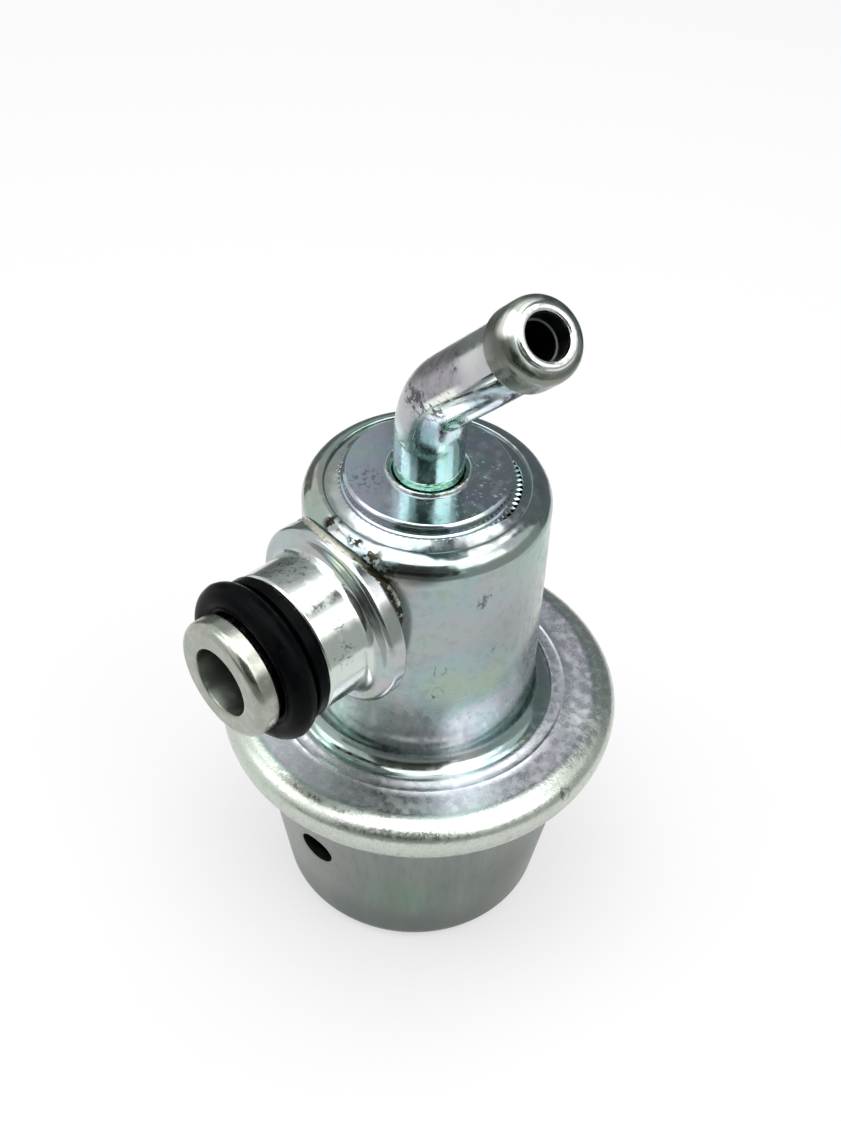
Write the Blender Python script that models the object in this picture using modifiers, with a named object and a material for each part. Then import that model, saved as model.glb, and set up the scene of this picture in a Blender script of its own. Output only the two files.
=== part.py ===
"""Diaphragm fuel pressure regulator with a side inlet, a bent return tube and a vented spring chamber.

Everything is in metres, with +Z up. The origin is the centre of the flat base, the body's axis is Z,
the inlet points along -Y, and the return tube leans towards +X. The valve is modelled closed.
"""

import math

import bmesh
import bpy

MM = 0.001

# Room left between pieces that touch, and the distance within which a turned shape's points are one.
SEAT = 0.20 * MM
MERGE = 0.01 * MM

# Heights on the body's axis.
VENT_HEIGHT = 13.3 * MM
CRIMP_BOTTOM = 21.0 * MM
ROLL_HEIGHT = 24.3 * MM
CRIMP_TOP = 26.10 * MM
FOOT_HEIGHT = 27.60 * MM
INLET_HEIGHT = 42.7 * MM
SHOULDER_HEIGHT = 50.0 * MM
DISC_TOP = 53.4 * MM

# Drawn shells.
UPPER_WALL = 0.70 * MM
LOWER_WALL = 0.90 * MM
CYLINDER_RADIUS = 11.26 * MM
SHOULDER_RADIUS = 2.0 * MM
FOOT_RADIUS = 1.75 * MM
RIDGE_RADIUS = 14.4 * MM
RIM_RADIUS = 19.6 * MM
ROLL_TOP_WIDTH = 2.4 * MM
LIP_INNER_RADIUS = 17.5 * MM
CUP_BOTTOM_RADIUS = 13.4 * MM
CUP_TAPER = math.atan(0.16)
CUP_CORNER = 2.1 * MM
CUP_FLARE = 1.1 * MM
FLANGE_RADIUS = 17.9 * MM
VENT_RADIUS = 1.9 * MM
VENT_AZIMUTH = math.radians(-83.0)

# Outlet plug, its press-fit teeth and the return tube.
DISC_RADIUS = 7.62 * MM
TOOTH_COUNT = 80
TOOTH_CREST = 8.40 * MM
TOOTH_ROOT = 8.12 * MM
TOOTH_TOP = 52.10 * MM
TOOTH_BOTTOM = 51.00 * MM
STEM_RADIUS = 4.0 * MM
STEM_BOTTOM = 32.0 * MM
TUBE_RADIUS = 3.175 * MM
TUBE_BORE = 2.10 * MM
TUBE_BOTTOM = 48.4 * MM
TUBE_AZIMUTH = math.radians(-5.5)
TUBE_BEND = math.radians(42.2)
TUBE_BEND_RADIUS = 9.5 * MM
TUBE_BEND_START = DISC_TOP + 4.0 * MM
TUBE_RUN = 16.4 * MM
BEAD_RADIUS = 3.60 * MM
BEAD_LENGTH = 3.8 * MM

# Inlet fitting. Distances are from the body's axis, along the fitting's own axis.
COLLAR_FACE = 12.1 * MM
COLLAR_BACK = 10.1 * MM
COLLAR_RADIUS = 8.76 * MM
NECK_RADIUS = 6.81 * MM
NECK_END = 17.3 * MM
GROOVE_RADIUS = 4.73 * MM
TIP_RADIUS = 5.64 * MM
TIP_BACK = 21.7 * MM
TIP_END = 24.0 * MM
INLET_BORE = 3.24 * MM
INLET_BORE_DEPTH = 6.5 * MM
INLET_DRILLING = 2.4 * MM
SHANK_RADIUS = 5.5 * MM
SHANK_END = 7.6 * MM
O_RING_SECTION = 1.35 * MM
O_RING_CENTRE = 20.1 * MM
BACKUP_RADIUS = 6.95 * MM

# Valve and diaphragm.
SEAT_LAND = 31.0 * MM
BALL_RADIUS = 2.0 * MM
BALL_CENTRE = 28.05 * MM
BALL_FLAT = 29.8 * MM
PLATE_BOTTOM = 30.0 * MM
PLATE_TOP = 30.8 * MM
DIAPHRAGM_TOP = 25.20 * MM
DIAPHRAGM_BOTTOM = 24.85 * MM
CONVOLUTION_CENTRE = 12.7 * MM
CONVOLUTION_HALF_WIDTH = 2.7 * MM
CONVOLUTION_DEPTH = 2.1 * MM
EDGE_BEAD_INNER = 16.4 * MM
EDGE_BEAD_OUTER = 17.8 * MM
EDGE_BEAD_BOTTOM = 23.3 * MM
HOLDER_TOP = 29.3 * MM
RIVET_RADIUS = 2.85 * MM

# Springs.
SPRING_BOTTOM = 2.1 * MM
SPRING_TOP = 23.55 * MM
SPRING_WIRE = 1.0 * MM
SPRING_MEAN_RADIUS = 7.15 * MM
SPRING_TURNS = 5.5
BALL_SPRING_BOTTOM = 23.6 * MM
BALL_SPRING_TOP = 25.85 * MM
BALL_SPRING_WIRE = 0.18 * MM
BALL_SPRING_MEAN_RADIUS = 0.95 * MM
BALL_SPRING_TURNS = 3.5


def clear_scene():
    for obj in list(bpy.data.objects):
        bpy.data.objects.remove(obj, do_unlink=True)


def collection(name):
    made = bpy.data.collections.new(name)
    bpy.context.scene.collection.children.link(made)
    return made


def material(name, colour, roughness, metallic):
    made = bpy.data.materials.new(name)
    made.use_nodes = True
    shader = made.node_tree.nodes["Principled BSDF"]
    shader.inputs["Base Color"].default_value = (*colour, 1.0)
    shader.inputs["Roughness"].default_value = roughness
    shader.inputs["Metallic"].default_value = metallic
    return made


def arc(radius_at, height_at, radius, start, end, steps):
    """Points of a round in a turned profile, from one angle to another in degrees."""
    points = []
    for step in range(steps + 1):
        angle = math.radians(start + (end - start) * step / steps)
        points.append((radius_at + radius * math.cos(angle), height_at + radius * math.sin(angle)))
    return points


def link(name, data, finish, parent=None):
    """A new object for one piece. It keeps its place when it is hung on a parent."""
    obj = bpy.data.objects.new(name, data)
    regulator.objects.link(obj)
    if finish:
        data.materials.append(finish)
    if parent:
        obj.parent = parent
        obj.matrix_parent_inverse = parent.matrix_world.inverted()
    return obj


def turned(name, profile, finish, steps, closed=False, parent=None):
    """A piece turned about Z. The profile runs down the outer side; a closed one makes a ring."""
    mesh = bpy.data.meshes.new(name)
    edges = [(i, i + 1) for i in range(len(profile) - 1)]
    if closed:
        edges.append((len(profile) - 1, 0))
    mesh.from_pydata([(r, 0.0, z) for r, z in profile], edges, [])
    obj = link(name, mesh, finish, parent)
    screw = obj.modifiers.new("turn", "SCREW")
    screw.steps = steps
    screw.render_steps = steps
    screw.use_merge_vertices = True
    screw.merge_threshold = MERGE
    return obj


def cutter(name, radius, bottom, top, steps, lower_radius=None):
    """A round cutter or tool body about Z, with an optional narrower part below it."""
    if lower_radius is None:
        profile = [(0.0, top), (radius, top), (radius, bottom), (0.0, bottom)]
    else:
        cone = radius - lower_radius
        split = bottom[0]
        profile = [
            (0.0, top),
            (radius, top),
            (radius, split),
            (lower_radius, split - cone * 0.6),
            (lower_radius, bottom[1]),
            (0.0, bottom[1]),
        ]
    obj = turned(name, profile, None, steps)
    return as_tool(obj)


def as_tool(obj):
    """Takes an object out of the product and into the cutters."""
    regulator.objects.unlink(obj)
    cutters.objects.link(obj)
    obj.hide_render = True
    obj.display_type = "WIRE"
    return obj


def boolean(obj, other, operation):
    change = obj.modifiers.new(operation.lower(), "BOOLEAN")
    change.object = other
    change.operation = operation
    change.solver = "EXACT"


def along_inlet(obj):
    """Lays a piece turned about Z on the inlet's axis, with its own +Z pointing out along -Y."""
    obj.location = (0.0, 0.0, INLET_HEIGHT)
    obj.rotation_euler = (math.pi / 2, 0.0, 0.0)
    return obj


def wire(name, points, radius, resolution, finish, radii=None, parent=None):
    """A round bar along a line of points. Radii scale it from point to point."""
    curve = bpy.data.curves.new(name, "CURVE")
    curve.dimensions = "3D"
    curve.bevel_depth = radius
    curve.bevel_resolution = resolution
    curve.use_fill_caps = True
    spline = curve.splines.new("POLY")
    spline.points.add(len(points) - 1)
    for index, (x, y, z) in enumerate(points):
        spline.points[index].co = (x, y, z, 1.0)
        spline.points[index].radius = radii[index] if radii else 1.0
    return link(name, curve, finish, parent)


def curve_to_mesh(obj, finish):
    """Replaces a curve object by its mesh, with the caps welded to the sides."""
    bpy.context.view_layer.update()
    graph = bpy.context.evaluated_depsgraph_get()
    mesh = bpy.data.meshes.new_from_object(obj.evaluated_get(graph))
    welded = bmesh.new()
    welded.from_mesh(mesh)
    bmesh.ops.remove_doubles(welded, verts=welded.verts, dist=MERGE)
    bmesh.ops.recalc_face_normals(welded, faces=welded.faces)
    welded.to_mesh(mesh)
    welded.free()
    mesh.materials.clear()
    name = obj.name
    place = obj.matrix_world.copy()
    bpy.data.objects.remove(obj, do_unlink=True)
    made = link(name, mesh, finish)
    made.matrix_world = place
    return made


def coil(bottom, top, wire_radius, mean_radius, turns, steps_per_turn):
    """Centre line of a compression spring whose first and last turns are closed up."""
    closed_pitch = 2.0 * wire_radius * 1.06
    open_turns = turns - 2.0
    open_pitch = (top - bottom - 2.0 * closed_pitch) / open_turns
    points = []
    height = bottom
    total = int(turns * steps_per_turn)
    for step in range(total + 1):
        turn = step / steps_per_turn
        angle = 2.0 * math.pi * turn
        points.append((mean_radius * math.cos(angle), mean_radius * math.sin(angle), height))
        at_end = turn < 1.0 or turn >= turns - 1.0
        height += (closed_pitch if at_end else open_pitch) / steps_per_turn
    return points


def rolled_edge(depth, start, end, steps):
    """Points of the rim's roll, at a depth under its outer skin: shallow above, long and inturned below."""
    points = []
    for step in range(steps + 1):
        angle = math.radians(start + (end - start) * step / steps)
        width = ROLL_TOP_WIDTH if angle > 0 else RIM_RADIUS - LIP_INNER_RADIUS
        height = CRIMP_TOP - ROLL_HEIGHT if angle > 0 else ROLL_HEIGHT - CRIMP_BOTTOM
        out = math.cos(angle) / width
        up = math.sin(angle) / height
        length = math.hypot(out, up)
        radius = RIM_RADIUS - width * (1 - math.cos(angle)) - depth * out / length
        points.append((radius, ROLL_HEIGHT + height * math.sin(angle) - depth * up / length))
    return points


def build_fuel_chamber_shell():
    """Upper can, with the hole for the plug, the hole for the inlet and the crimped rim."""
    plug_hole = TOOTH_CREST + SEAT
    coined_top = SHOULDER_HEIGHT + SHOULDER_RADIUS - 0.15 * MM
    shoulder_centre = CYLINDER_RADIUS - SHOULDER_RADIUS
    foot_centre = CYLINDER_RADIUS + FOOT_RADIUS

    outer = [(plug_hole, coined_top), (shoulder_centre - 0.06 * MM, coined_top)]
    outer += arc(shoulder_centre, SHOULDER_HEIGHT, SHOULDER_RADIUS, 90, 0, 4)
    outer += arc(foot_centre, FOOT_HEIGHT, FOOT_RADIUS, 180, 270, 3)
    outer += [(RIDGE_RADIUS, CRIMP_TOP + 0.05 * MM), (RIDGE_RADIUS + 0.5 * MM, CRIMP_TOP - 0.02 * MM)]
    outer += rolled_edge(0.0, 90, 0, 4) + rolled_edge(0.0, -22.5, -90, 3)

    inner = rolled_edge(UPPER_WALL, -90, 90, 6)
    inner += arc(foot_centre, FOOT_HEIGHT, FOOT_RADIUS + UPPER_WALL, 270, 180, 3)
    inner += arc(shoulder_centre, SHOULDER_HEIGHT, SHOULDER_RADIUS - UPPER_WALL, 0, 90, 2)
    inner.append((plug_hole, SHOULDER_HEIGHT + SHOULDER_RADIUS - UPPER_WALL))

    shell = turned("fuel_chamber_shell", outer + inner, zinc, 40, closed=True)
    hole = along_inlet(cutter("inlet_hole", SHANK_RADIUS + SEAT, 5.0 * MM, 15.0 * MM, 28))
    boolean(shell, hole, "DIFFERENCE")


def build_spring_chamber_shell():
    """Lower cup: tapered wall, flare and clamped flange, with the vent hole."""
    lean = math.degrees(CUP_TAPER)
    flange_bottom = CRIMP_BOTTOM + UPPER_WALL + 2 * SEAT
    flare_height = flange_bottom - CUP_FLARE
    corner_centre = CUP_BOTTOM_RADIUS - CUP_CORNER
    wall_foot = corner_centre + CUP_CORNER * math.cos(CUP_TAPER)
    wall_rise = flare_height + CUP_FLARE * math.sin(CUP_TAPER) - CUP_CORNER * (1 - math.sin(CUP_TAPER))
    flare_centre = wall_foot + wall_rise * math.tan(CUP_TAPER) + CUP_FLARE * math.cos(CUP_TAPER)
    inner = [(0.0, LOWER_WALL)]
    inner += arc(corner_centre, CUP_CORNER, CUP_CORNER - LOWER_WALL, -90, -lean, 2)
    inner += arc(flare_centre, flare_height, CUP_FLARE + LOWER_WALL, 180 - lean, 90, 3)
    outer = [(FLANGE_RADIUS, flange_bottom + LOWER_WALL), (FLANGE_RADIUS, flange_bottom)]
    outer += arc(flare_centre, flare_height, CUP_FLARE, 90, 180 - lean, 3)
    outer += arc(corner_centre, CUP_CORNER, CUP_CORNER, -lean, -90, 4)
    outer.append((0.0, 0.0))
    cup = turned("spring_chamber_shell", inner + outer, satin_zinc, 40)

    vent = cutter("vent_drill", VENT_RADIUS, 8.0 * MM, 20.0 * MM, 20)
    vent.location = (0.0, 0.0, VENT_HEIGHT)
    vent.rotation_euler = (math.pi / 2, 0.0, VENT_AZIMUTH + math.pi / 2)
    boolean(cup, vent, "DIFFERENCE")


def build_press_fit_teeth():
    """Toothed ring of the plug: a flat star outline with a tooth for every second point."""
    curve = bpy.data.curves.new("press_fit_teeth", "CURVE")
    curve.dimensions = "2D"
    curve.fill_mode = "BOTH"
    curve.extrude = (TOOTH_TOP - TOOTH_BOTTOM) / 2
    spline = curve.splines.new("POLY")
    spline.points.add(2 * TOOTH_COUNT - 1)
    spline.use_cyclic_u = True
    for index, point in enumerate(spline.points):
        angle = math.pi * index / TOOTH_COUNT
        radius = TOOTH_CREST if index % 2 else TOOTH_ROOT
        point.co = (radius * math.cos(angle), radius * math.sin(angle), 0.0, 1.0)
    teeth = link("press_fit_teeth", curve, None)
    teeth.location = (0.0, 0.0, (TOOTH_TOP + TOOTH_BOTTOM) / 2)
    return as_tool(curve_to_mesh(teeth, None))


def build_outlet_plug():
    """Plug with its raised disc, press-fit teeth, long stem, tube socket, bore and seat recess."""
    socket = TUBE_RADIUS + SEAT
    profile = [
        (0.0, DISC_TOP),
        (DISC_RADIUS - 0.25 * MM, DISC_TOP),
        (DISC_RADIUS, DISC_TOP - 0.25 * MM),
        (DISC_RADIUS, TOOTH_TOP + 0.25 * MM),
        (DISC_RADIUS + 0.2 * MM, TOOTH_TOP + 0.1 * MM),
        (DISC_RADIUS + 0.2 * MM, TOOTH_BOTTOM - 0.3 * MM),
        (DISC_RADIUS - 0.6 * MM, TOOTH_BOTTOM - 0.9 * MM),
        (STEM_RADIUS + 1.0 * MM, TOOTH_BOTTOM - 0.9 * MM),
        (STEM_RADIUS + 1.0 * MM, TUBE_BOTTOM - 2.0 * MM),
        (STEM_RADIUS, TUBE_BOTTOM - 3.0 * MM),
        (STEM_RADIUS, STEM_BOTTOM + 0.3 * MM),
        (STEM_RADIUS - 0.3 * MM, STEM_BOTTOM),
        (0.0, STEM_BOTTOM),
    ]
    plug = turned("outlet_plug", profile, zinc, 28)
    boolean(plug, build_press_fit_teeth(), "UNION")
    socket_floor = TUBE_BOTTOM - SEAT
    boolean(plug, cutter("tube_socket_drill", socket, socket_floor, DISC_TOP + 2 * MM, 24), "DIFFERENCE")
    recess_top = STEM_BOTTOM + 2.4 * MM
    boolean(plug, cutter("seat_recess_drill", 2.9 * MM, STEM_BOTTOM - 2 * MM, recess_top, 20), "DIFFERENCE")
    bore = cutter("plug_bore_drill", TUBE_BORE, STEM_BOTTOM, socket_floor + 1 * MM, 20)
    boolean(plug, bore, "DIFFERENCE")


def tube_route():
    """Centre line of the return tube, with the distance to its mouth kept beside each point."""
    lean = (math.cos(TUBE_AZIMUTH), math.sin(TUBE_AZIMUTH))
    route = [(0.0, TUBE_BOTTOM, None), (0.0, TUBE_BEND_START, None)]
    bend_steps = 9
    for step in range(1, bend_steps + 1):
        angle = TUBE_BEND * step / bend_steps
        out = TUBE_BEND_RADIUS * (1 - math.cos(angle))
        up = TUBE_BEND_START + TUBE_BEND_RADIUS * math.sin(angle)
        route.append((out, up, None))
    bend_out, bend_up, _ = route[-1]
    bead_profile = [
        (BEAD_LENGTH + 0.04 * MM, TUBE_RADIUS),
        (BEAD_LENGTH - 0.04 * MM, BEAD_RADIUS - 0.05 * MM),
        (BEAD_LENGTH - 0.4 * MM, BEAD_RADIUS),
        (1.4 * MM, BEAD_RADIUS),
        (0.75 * MM, BEAD_RADIUS - 0.16 * MM),
        (0.25 * MM, BEAD_RADIUS - 0.5 * MM),
        (0.0, BEAD_RADIUS - 0.95 * MM),
    ]
    for from_mouth, radius in bead_profile:
        along = TUBE_RUN - from_mouth
        route.append((bend_out + along * math.sin(TUBE_BEND), bend_up + along * math.cos(TUBE_BEND), radius))
    points = [(lean[0] * out, lean[1] * out, up) for out, up, _ in route]
    radii = [(radius or TUBE_RADIUS) / TUBE_RADIUS for _, _, radius in route]
    return points, radii


def build_return_tube():
    """Bent tube with a rounded bead at its mouth and a bore that follows the bend."""
    points, radii = tube_route()
    tube = curve_to_mesh(wire("return_tube", points, TUBE_RADIUS, 7, zinc, radii), zinc)
    bend_points = points[:11]
    mouth = points[-1]
    last = points[-2]
    beyond = tuple(mouth[i] + (mouth[i] - last[i]) * 8 for i in range(3))
    below = (0.0, 0.0, TUBE_BOTTOM - 2 * MM)
    bore_points = [below] + bend_points[1:] + [beyond]
    bore = curve_to_mesh(wire("tube_bore_drill", bore_points, TUBE_BORE, 4, None), None)
    boolean(tube, as_tool(bore), "DIFFERENCE")


def build_tube_braze_ring():
    inner = TUBE_RADIUS + SEAT
    foot = DISC_TOP + SEAT
    profile = [
        (inner, foot + 0.40 * MM),
        (inner + 0.3 * MM, foot + 0.30 * MM),
        (inner + 0.6 * MM, foot + 0.08 * MM),
        (inner + 0.6 * MM, foot),
        (inner, foot),
    ]
    turned("tube_braze_ring", profile, braze, 28, closed=True)


def build_inlet_fitting():
    """Collar saddled to the cylinder, filleted neck, seal groove, rounded tip, and a stepped bore."""
    edge = 0.35 * MM
    nose = 0.9 * MM
    fillet = 1.0 * MM
    profile = [(0.0, TIP_END)]
    profile += arc(TIP_RADIUS - nose, TIP_END - nose, nose, 90, 0, 3)
    profile += [
        (TIP_RADIUS, TIP_BACK + 0.3 * MM),
        (TIP_RADIUS - 0.3 * MM, TIP_BACK),
        (GROOVE_RADIUS, TIP_BACK - 0.05 * MM),
        (GROOVE_RADIUS, NECK_END),
        (NECK_RADIUS - 0.25 * MM, NECK_END),
        (NECK_RADIUS, NECK_END - 0.25 * MM),
    ]
    profile += arc(NECK_RADIUS + fillet, COLLAR_FACE + fillet, fillet, 180, 270, 3)
    profile += arc(COLLAR_RADIUS - edge, COLLAR_FACE - edge, edge, 90, 0, 2)
    profile += arc(COLLAR_RADIUS - edge, COLLAR_BACK + edge, edge, 0, -90, 2)
    profile.append((0.0, COLLAR_BACK))
    fitting = along_inlet(turned("inlet_fitting", profile, zinc, 28))

    saddle = cutter("collar_saddle", CYLINDER_RADIUS + SEAT, 30 * MM, 60 * MM, 56)
    boolean(fitting, saddle, "DIFFERENCE")
    shank = along_inlet(cutter("inlet_shank", SHANK_RADIUS, SHANK_END, COLLAR_FACE + 0.4 * MM, 28))
    boolean(fitting, shank, "UNION")
    step_at = TIP_END - INLET_BORE_DEPTH
    bore = cutter("inlet_bore_drill", INLET_BORE, (step_at, SHANK_END - 2 * MM), TIP_END + 2 * MM, 24, INLET_DRILLING)
    boolean(fitting, along_inlet(bore), "DIFFERENCE")


def build_inlet_rings():
    """O-ring, backup ring and the filler ring on the shank."""
    seal_radius = GROOVE_RADIUS + SEAT + O_RING_SECTION
    section = arc(seal_radius, O_RING_CENTRE, O_RING_SECTION, 0, -324, 9)
    along_inlet(turned("inlet_o_ring", section, rubber, 32, closed=True))

    inner = GROOVE_RADIUS + SEAT
    top = O_RING_CENTRE - O_RING_SECTION - SEAT
    bottom = NECK_END + SEAT
    profile = [(inner, top), (BACKUP_RADIUS, top), (BACKUP_RADIUS, bottom), (inner, bottom)]
    along_inlet(turned("inlet_backup_ring", profile, rubber, 32, closed=True))

    filler = 0.28 * MM
    centre = SHANK_RADIUS + SEAT + filler
    section = arc(centre, SHANK_END + 0.4 * MM, filler, 0, -300, 5)
    along_inlet(turned("inlet_braze_ring", section, braze, 24, closed=True))


def build_valve_seat():
    top = STEM_BOTTOM + 2.2 * MM
    flange_top = STEM_BOTTOM - SEAT
    profile = [
        (1.6 * MM, top),
        (2.7 * MM, top),
        (2.7 * MM, flange_top),
        (3.7 * MM, flange_top),
        (3.7 * MM, flange_top - 0.4 * MM),
        (2.5 * MM, SEAT_LAND),
        (1.6 * MM, SEAT_LAND),
    ]
    turned("valve_seat", profile, hard_steel, 20, closed=True)


def build_diaphragm():
    """Moulded disc with one rolled convolution, and a thick bead at its edge for the crimp to grip."""
    inner_edge = RIVET_RADIUS + SEAT
    start = CONVOLUTION_CENTRE - CONVOLUTION_HALF_WIDTH
    steps = 6
    wave = []
    for step in range(steps + 1):
        along = step / steps
        radius = start + 2 * CONVOLUTION_HALF_WIDTH * along
        wave.append((radius, CONVOLUTION_DEPTH * math.sin(math.pi * along) ** 2))
    upper = [(inner_edge, DIAPHRAGM_TOP)]
    upper += [(radius, DIAPHRAGM_TOP - drop) for radius, drop in wave]
    upper.append((EDGE_BEAD_OUTER, DIAPHRAGM_TOP))
    lower = [
        (EDGE_BEAD_OUTER, EDGE_BEAD_BOTTOM),
        (EDGE_BEAD_INNER, EDGE_BEAD_BOTTOM),
        (EDGE_BEAD_INNER, DIAPHRAGM_BOTTOM),
    ]
    lower += [(radius, DIAPHRAGM_BOTTOM - drop) for radius, drop in reversed(wave)]
    lower.append((inner_edge, DIAPHRAGM_BOTTOM))
    turned("diaphragm", upper + lower, diaphragm_rubber, 28, closed=True)


def build_diaphragm_plates(lift):
    hole = RIVET_RADIUS + SEAT
    bottom = DIAPHRAGM_TOP + SEAT
    upper = [
        (hole, bottom + 0.8 * MM),
        (8.9 * MM, bottom + 0.8 * MM),
        (9.2 * MM, bottom + 0.5 * MM),
        (9.2 * MM, bottom + 0.25 * MM),
        (8.9 * MM, bottom),
        (hole, bottom),
    ]
    turned("diaphragm_upper_plate", upper, pressed_steel, 28, closed=True, parent=lift)

    top = DIAPHRAGM_BOTTOM - SEAT
    under = top - 0.9 * MM
    lower = [(hole, top), (9.0 * MM, top), (9.4 * MM, top - 0.4 * MM), (9.4 * MM, under - 1.4 * MM)]
    lower += [(8.5 * MM, under - 1.4 * MM), (8.5 * MM, under), (hole, under)]
    turned("diaphragm_lower_plate", lower, pressed_steel, 28, closed=True, parent=lift)


def build_valve_holder(lift):
    """Rivet with the ball's socket, the pocket of the ball spring and the upset head below."""
    socket = BALL_RADIUS + SEAT
    shoulder = DIAPHRAGM_TOP + 2 * SEAT + 0.8 * MM
    head_top = DIAPHRAGM_BOTTOM - 2 * SEAT - 0.9 * MM
    pocket = 1.5 * MM
    pocket_floor = BALL_SPRING_BOTTOM - SEAT
    profile = [
        (0.0, pocket_floor),
        (pocket, pocket_floor),
        (pocket, 26.3 * MM),
        (socket, 26.5 * MM),
        (socket, HOLDER_TOP - 0.5 * MM),
        (3.2 * MM, HOLDER_TOP - 0.5 * MM),
        (3.2 * MM, HOLDER_TOP),
        (4.0 * MM, HOLDER_TOP),
        (4.2 * MM, HOLDER_TOP - 0.2 * MM),
        (4.2 * MM, shoulder),
        (RIVET_RADIUS, shoulder),
        (RIVET_RADIUS, head_top),
        (3.8 * MM, head_top),
        (3.6 * MM, head_top - 0.6 * MM),
        (2.4 * MM, head_top - 0.8 * MM),
        (0.0, head_top - 0.8 * MM),
    ]
    turned("valve_holder", profile, hard_steel, 24, parent=lift)

    ring_bottom = HOLDER_TOP - 0.5 * MM + SEAT
    ring = [
        (1.93 * MM, ring_bottom + 0.4 * MM),
        (3.0 * MM, ring_bottom + 0.4 * MM),
        (3.0 * MM, ring_bottom),
        (1.93 * MM, ring_bottom),
    ]
    turned("valve_ball_retainer", ring, pressed_steel, 20, closed=True, parent=lift)


def build_valve(swivel):
    """Ball with a flat ground on it, and the flat sealing plate welded to that flat."""
    flat_angle = math.degrees(math.asin((BALL_FLAT - BALL_CENTRE) / BALL_RADIUS))
    ball = [(0.0, BALL_FLAT)] + arc(0.0, BALL_CENTRE, BALL_RADIUS, flat_angle, -90, 7)
    ball[-1] = (0.0, BALL_CENTRE - BALL_RADIUS)
    turned("valve_ball", ball, hard_steel, 20, parent=swivel)

    bevel = 0.2 * MM
    radius = 3.0 * MM
    plate = [
        (0.0, PLATE_TOP),
        (radius - bevel, PLATE_TOP),
        (radius, PLATE_TOP - bevel),
        (radius, PLATE_BOTTOM + bevel),
        (radius - bevel, PLATE_BOTTOM),
        (0.0, PLATE_BOTTOM),
    ]
    turned("valve_plate", plate, hard_steel, 20, parent=swivel)


def build_springs(lift):
    """Main spring with ground ends on its seats, and the small spring under the ball."""
    line = coil(
        SPRING_BOTTOM + SPRING_WIRE * 0.4,
        SPRING_TOP - SPRING_WIRE * 0.4,
        SPRING_WIRE,
        SPRING_MEAN_RADIUS,
        SPRING_TURNS,
        12,
    )
    spring = curve_to_mesh(wire("pressure_spring", line, SPRING_WIRE, 2, spring_steel), spring_steel)
    grinding = cutter("spring_grinding", 2 * SPRING_MEAN_RADIUS, SPRING_BOTTOM, SPRING_TOP, 24)
    boolean(spring, grinding, "INTERSECT")

    line = coil(
        BALL_SPRING_BOTTOM + BALL_SPRING_WIRE,
        BALL_SPRING_TOP - BALL_SPRING_WIRE,
        BALL_SPRING_WIRE,
        BALL_SPRING_MEAN_RADIUS,
        BALL_SPRING_TURNS,
        10,
    )
    wire("valve_ball_spring", line, BALL_SPRING_WIRE, 1, spring_steel, parent=lift)


def build_lower_spring_seat():
    """Pressed ring on the cup's floor. Its flange fits the floor, and its collar keeps the spring central."""
    floor = LOWER_WALL + SEAT
    top = floor + 0.9 * MM
    inner = 8.45 * MM
    wall = 9.3 * MM
    rim = 11.1 * MM
    profile = [
        (inner + 0.2 * MM, floor + 2.5 * MM),
        (wall, floor + 2.5 * MM),
        (wall, top),
        (rim, top),
        (rim, floor),
        (3.0 * MM, floor),
        (3.0 * MM, top),
        (inner, top),
    ]
    turned("lower_spring_seat", profile, pressed_steel, 28, closed=True)


def joint_origin(name, height):
    """Empty on a joint's axis, which the moving pieces hang on."""
    empty = bpy.data.objects.new(name, None)
    empty.location = (0.0, 0.0, height)
    regulator.objects.link(empty)
    bpy.context.view_layer.update()
    return empty


def smooth_round_pieces():
    for obj in regulator.objects:
        if obj.type == "MESH":
            obj.data.shade_smooth()


clear_scene()
regulator = collection("fuel_pressure_regulator")
cutters = collection("cutters")

zinc = material("bright_zinc_plate", (0.66, 0.69, 0.68), 0.22, 1.0)
satin_zinc = material("satin_zinc_plate", (0.52, 0.56, 0.53), 0.36, 1.0)
braze = material("plated_braze", (0.60, 0.58, 0.50), 0.30, 1.0)
hard_steel = material("hardened_steel", (0.55, 0.56, 0.58), 0.20, 1.0)
pressed_steel = material("pressed_steel", (0.50, 0.50, 0.50), 0.40, 1.0)
spring_steel = material("spring_steel", (0.30, 0.30, 0.31), 0.35, 1.0)
rubber = material("black_rubber", (0.012, 0.012, 0.013), 0.42, 0.0)
diaphragm_rubber = material("diaphragm_rubber", (0.03, 0.028, 0.026), 0.60, 0.0)

valve_lift = joint_origin("valve_lift_axis", HOLDER_TOP)
valve_swivel = joint_origin("valve_swivel_axis", BALL_CENTRE)

build_fuel_chamber_shell()
build_spring_chamber_shell()
build_outlet_plug()
build_return_tube()
build_tube_braze_ring()
build_inlet_fitting()
build_inlet_rings()
build_valve_seat()
build_diaphragm()
build_diaphragm_plates(valve_lift)
build_valve_holder(valve_lift)
build_valve(valve_swivel)
build_springs(valve_lift)
build_lower_spring_seat()
smooth_round_pieces()
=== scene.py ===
import math

import bmesh
import bpy
from mathutils import Matrix, Vector, noise


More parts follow.
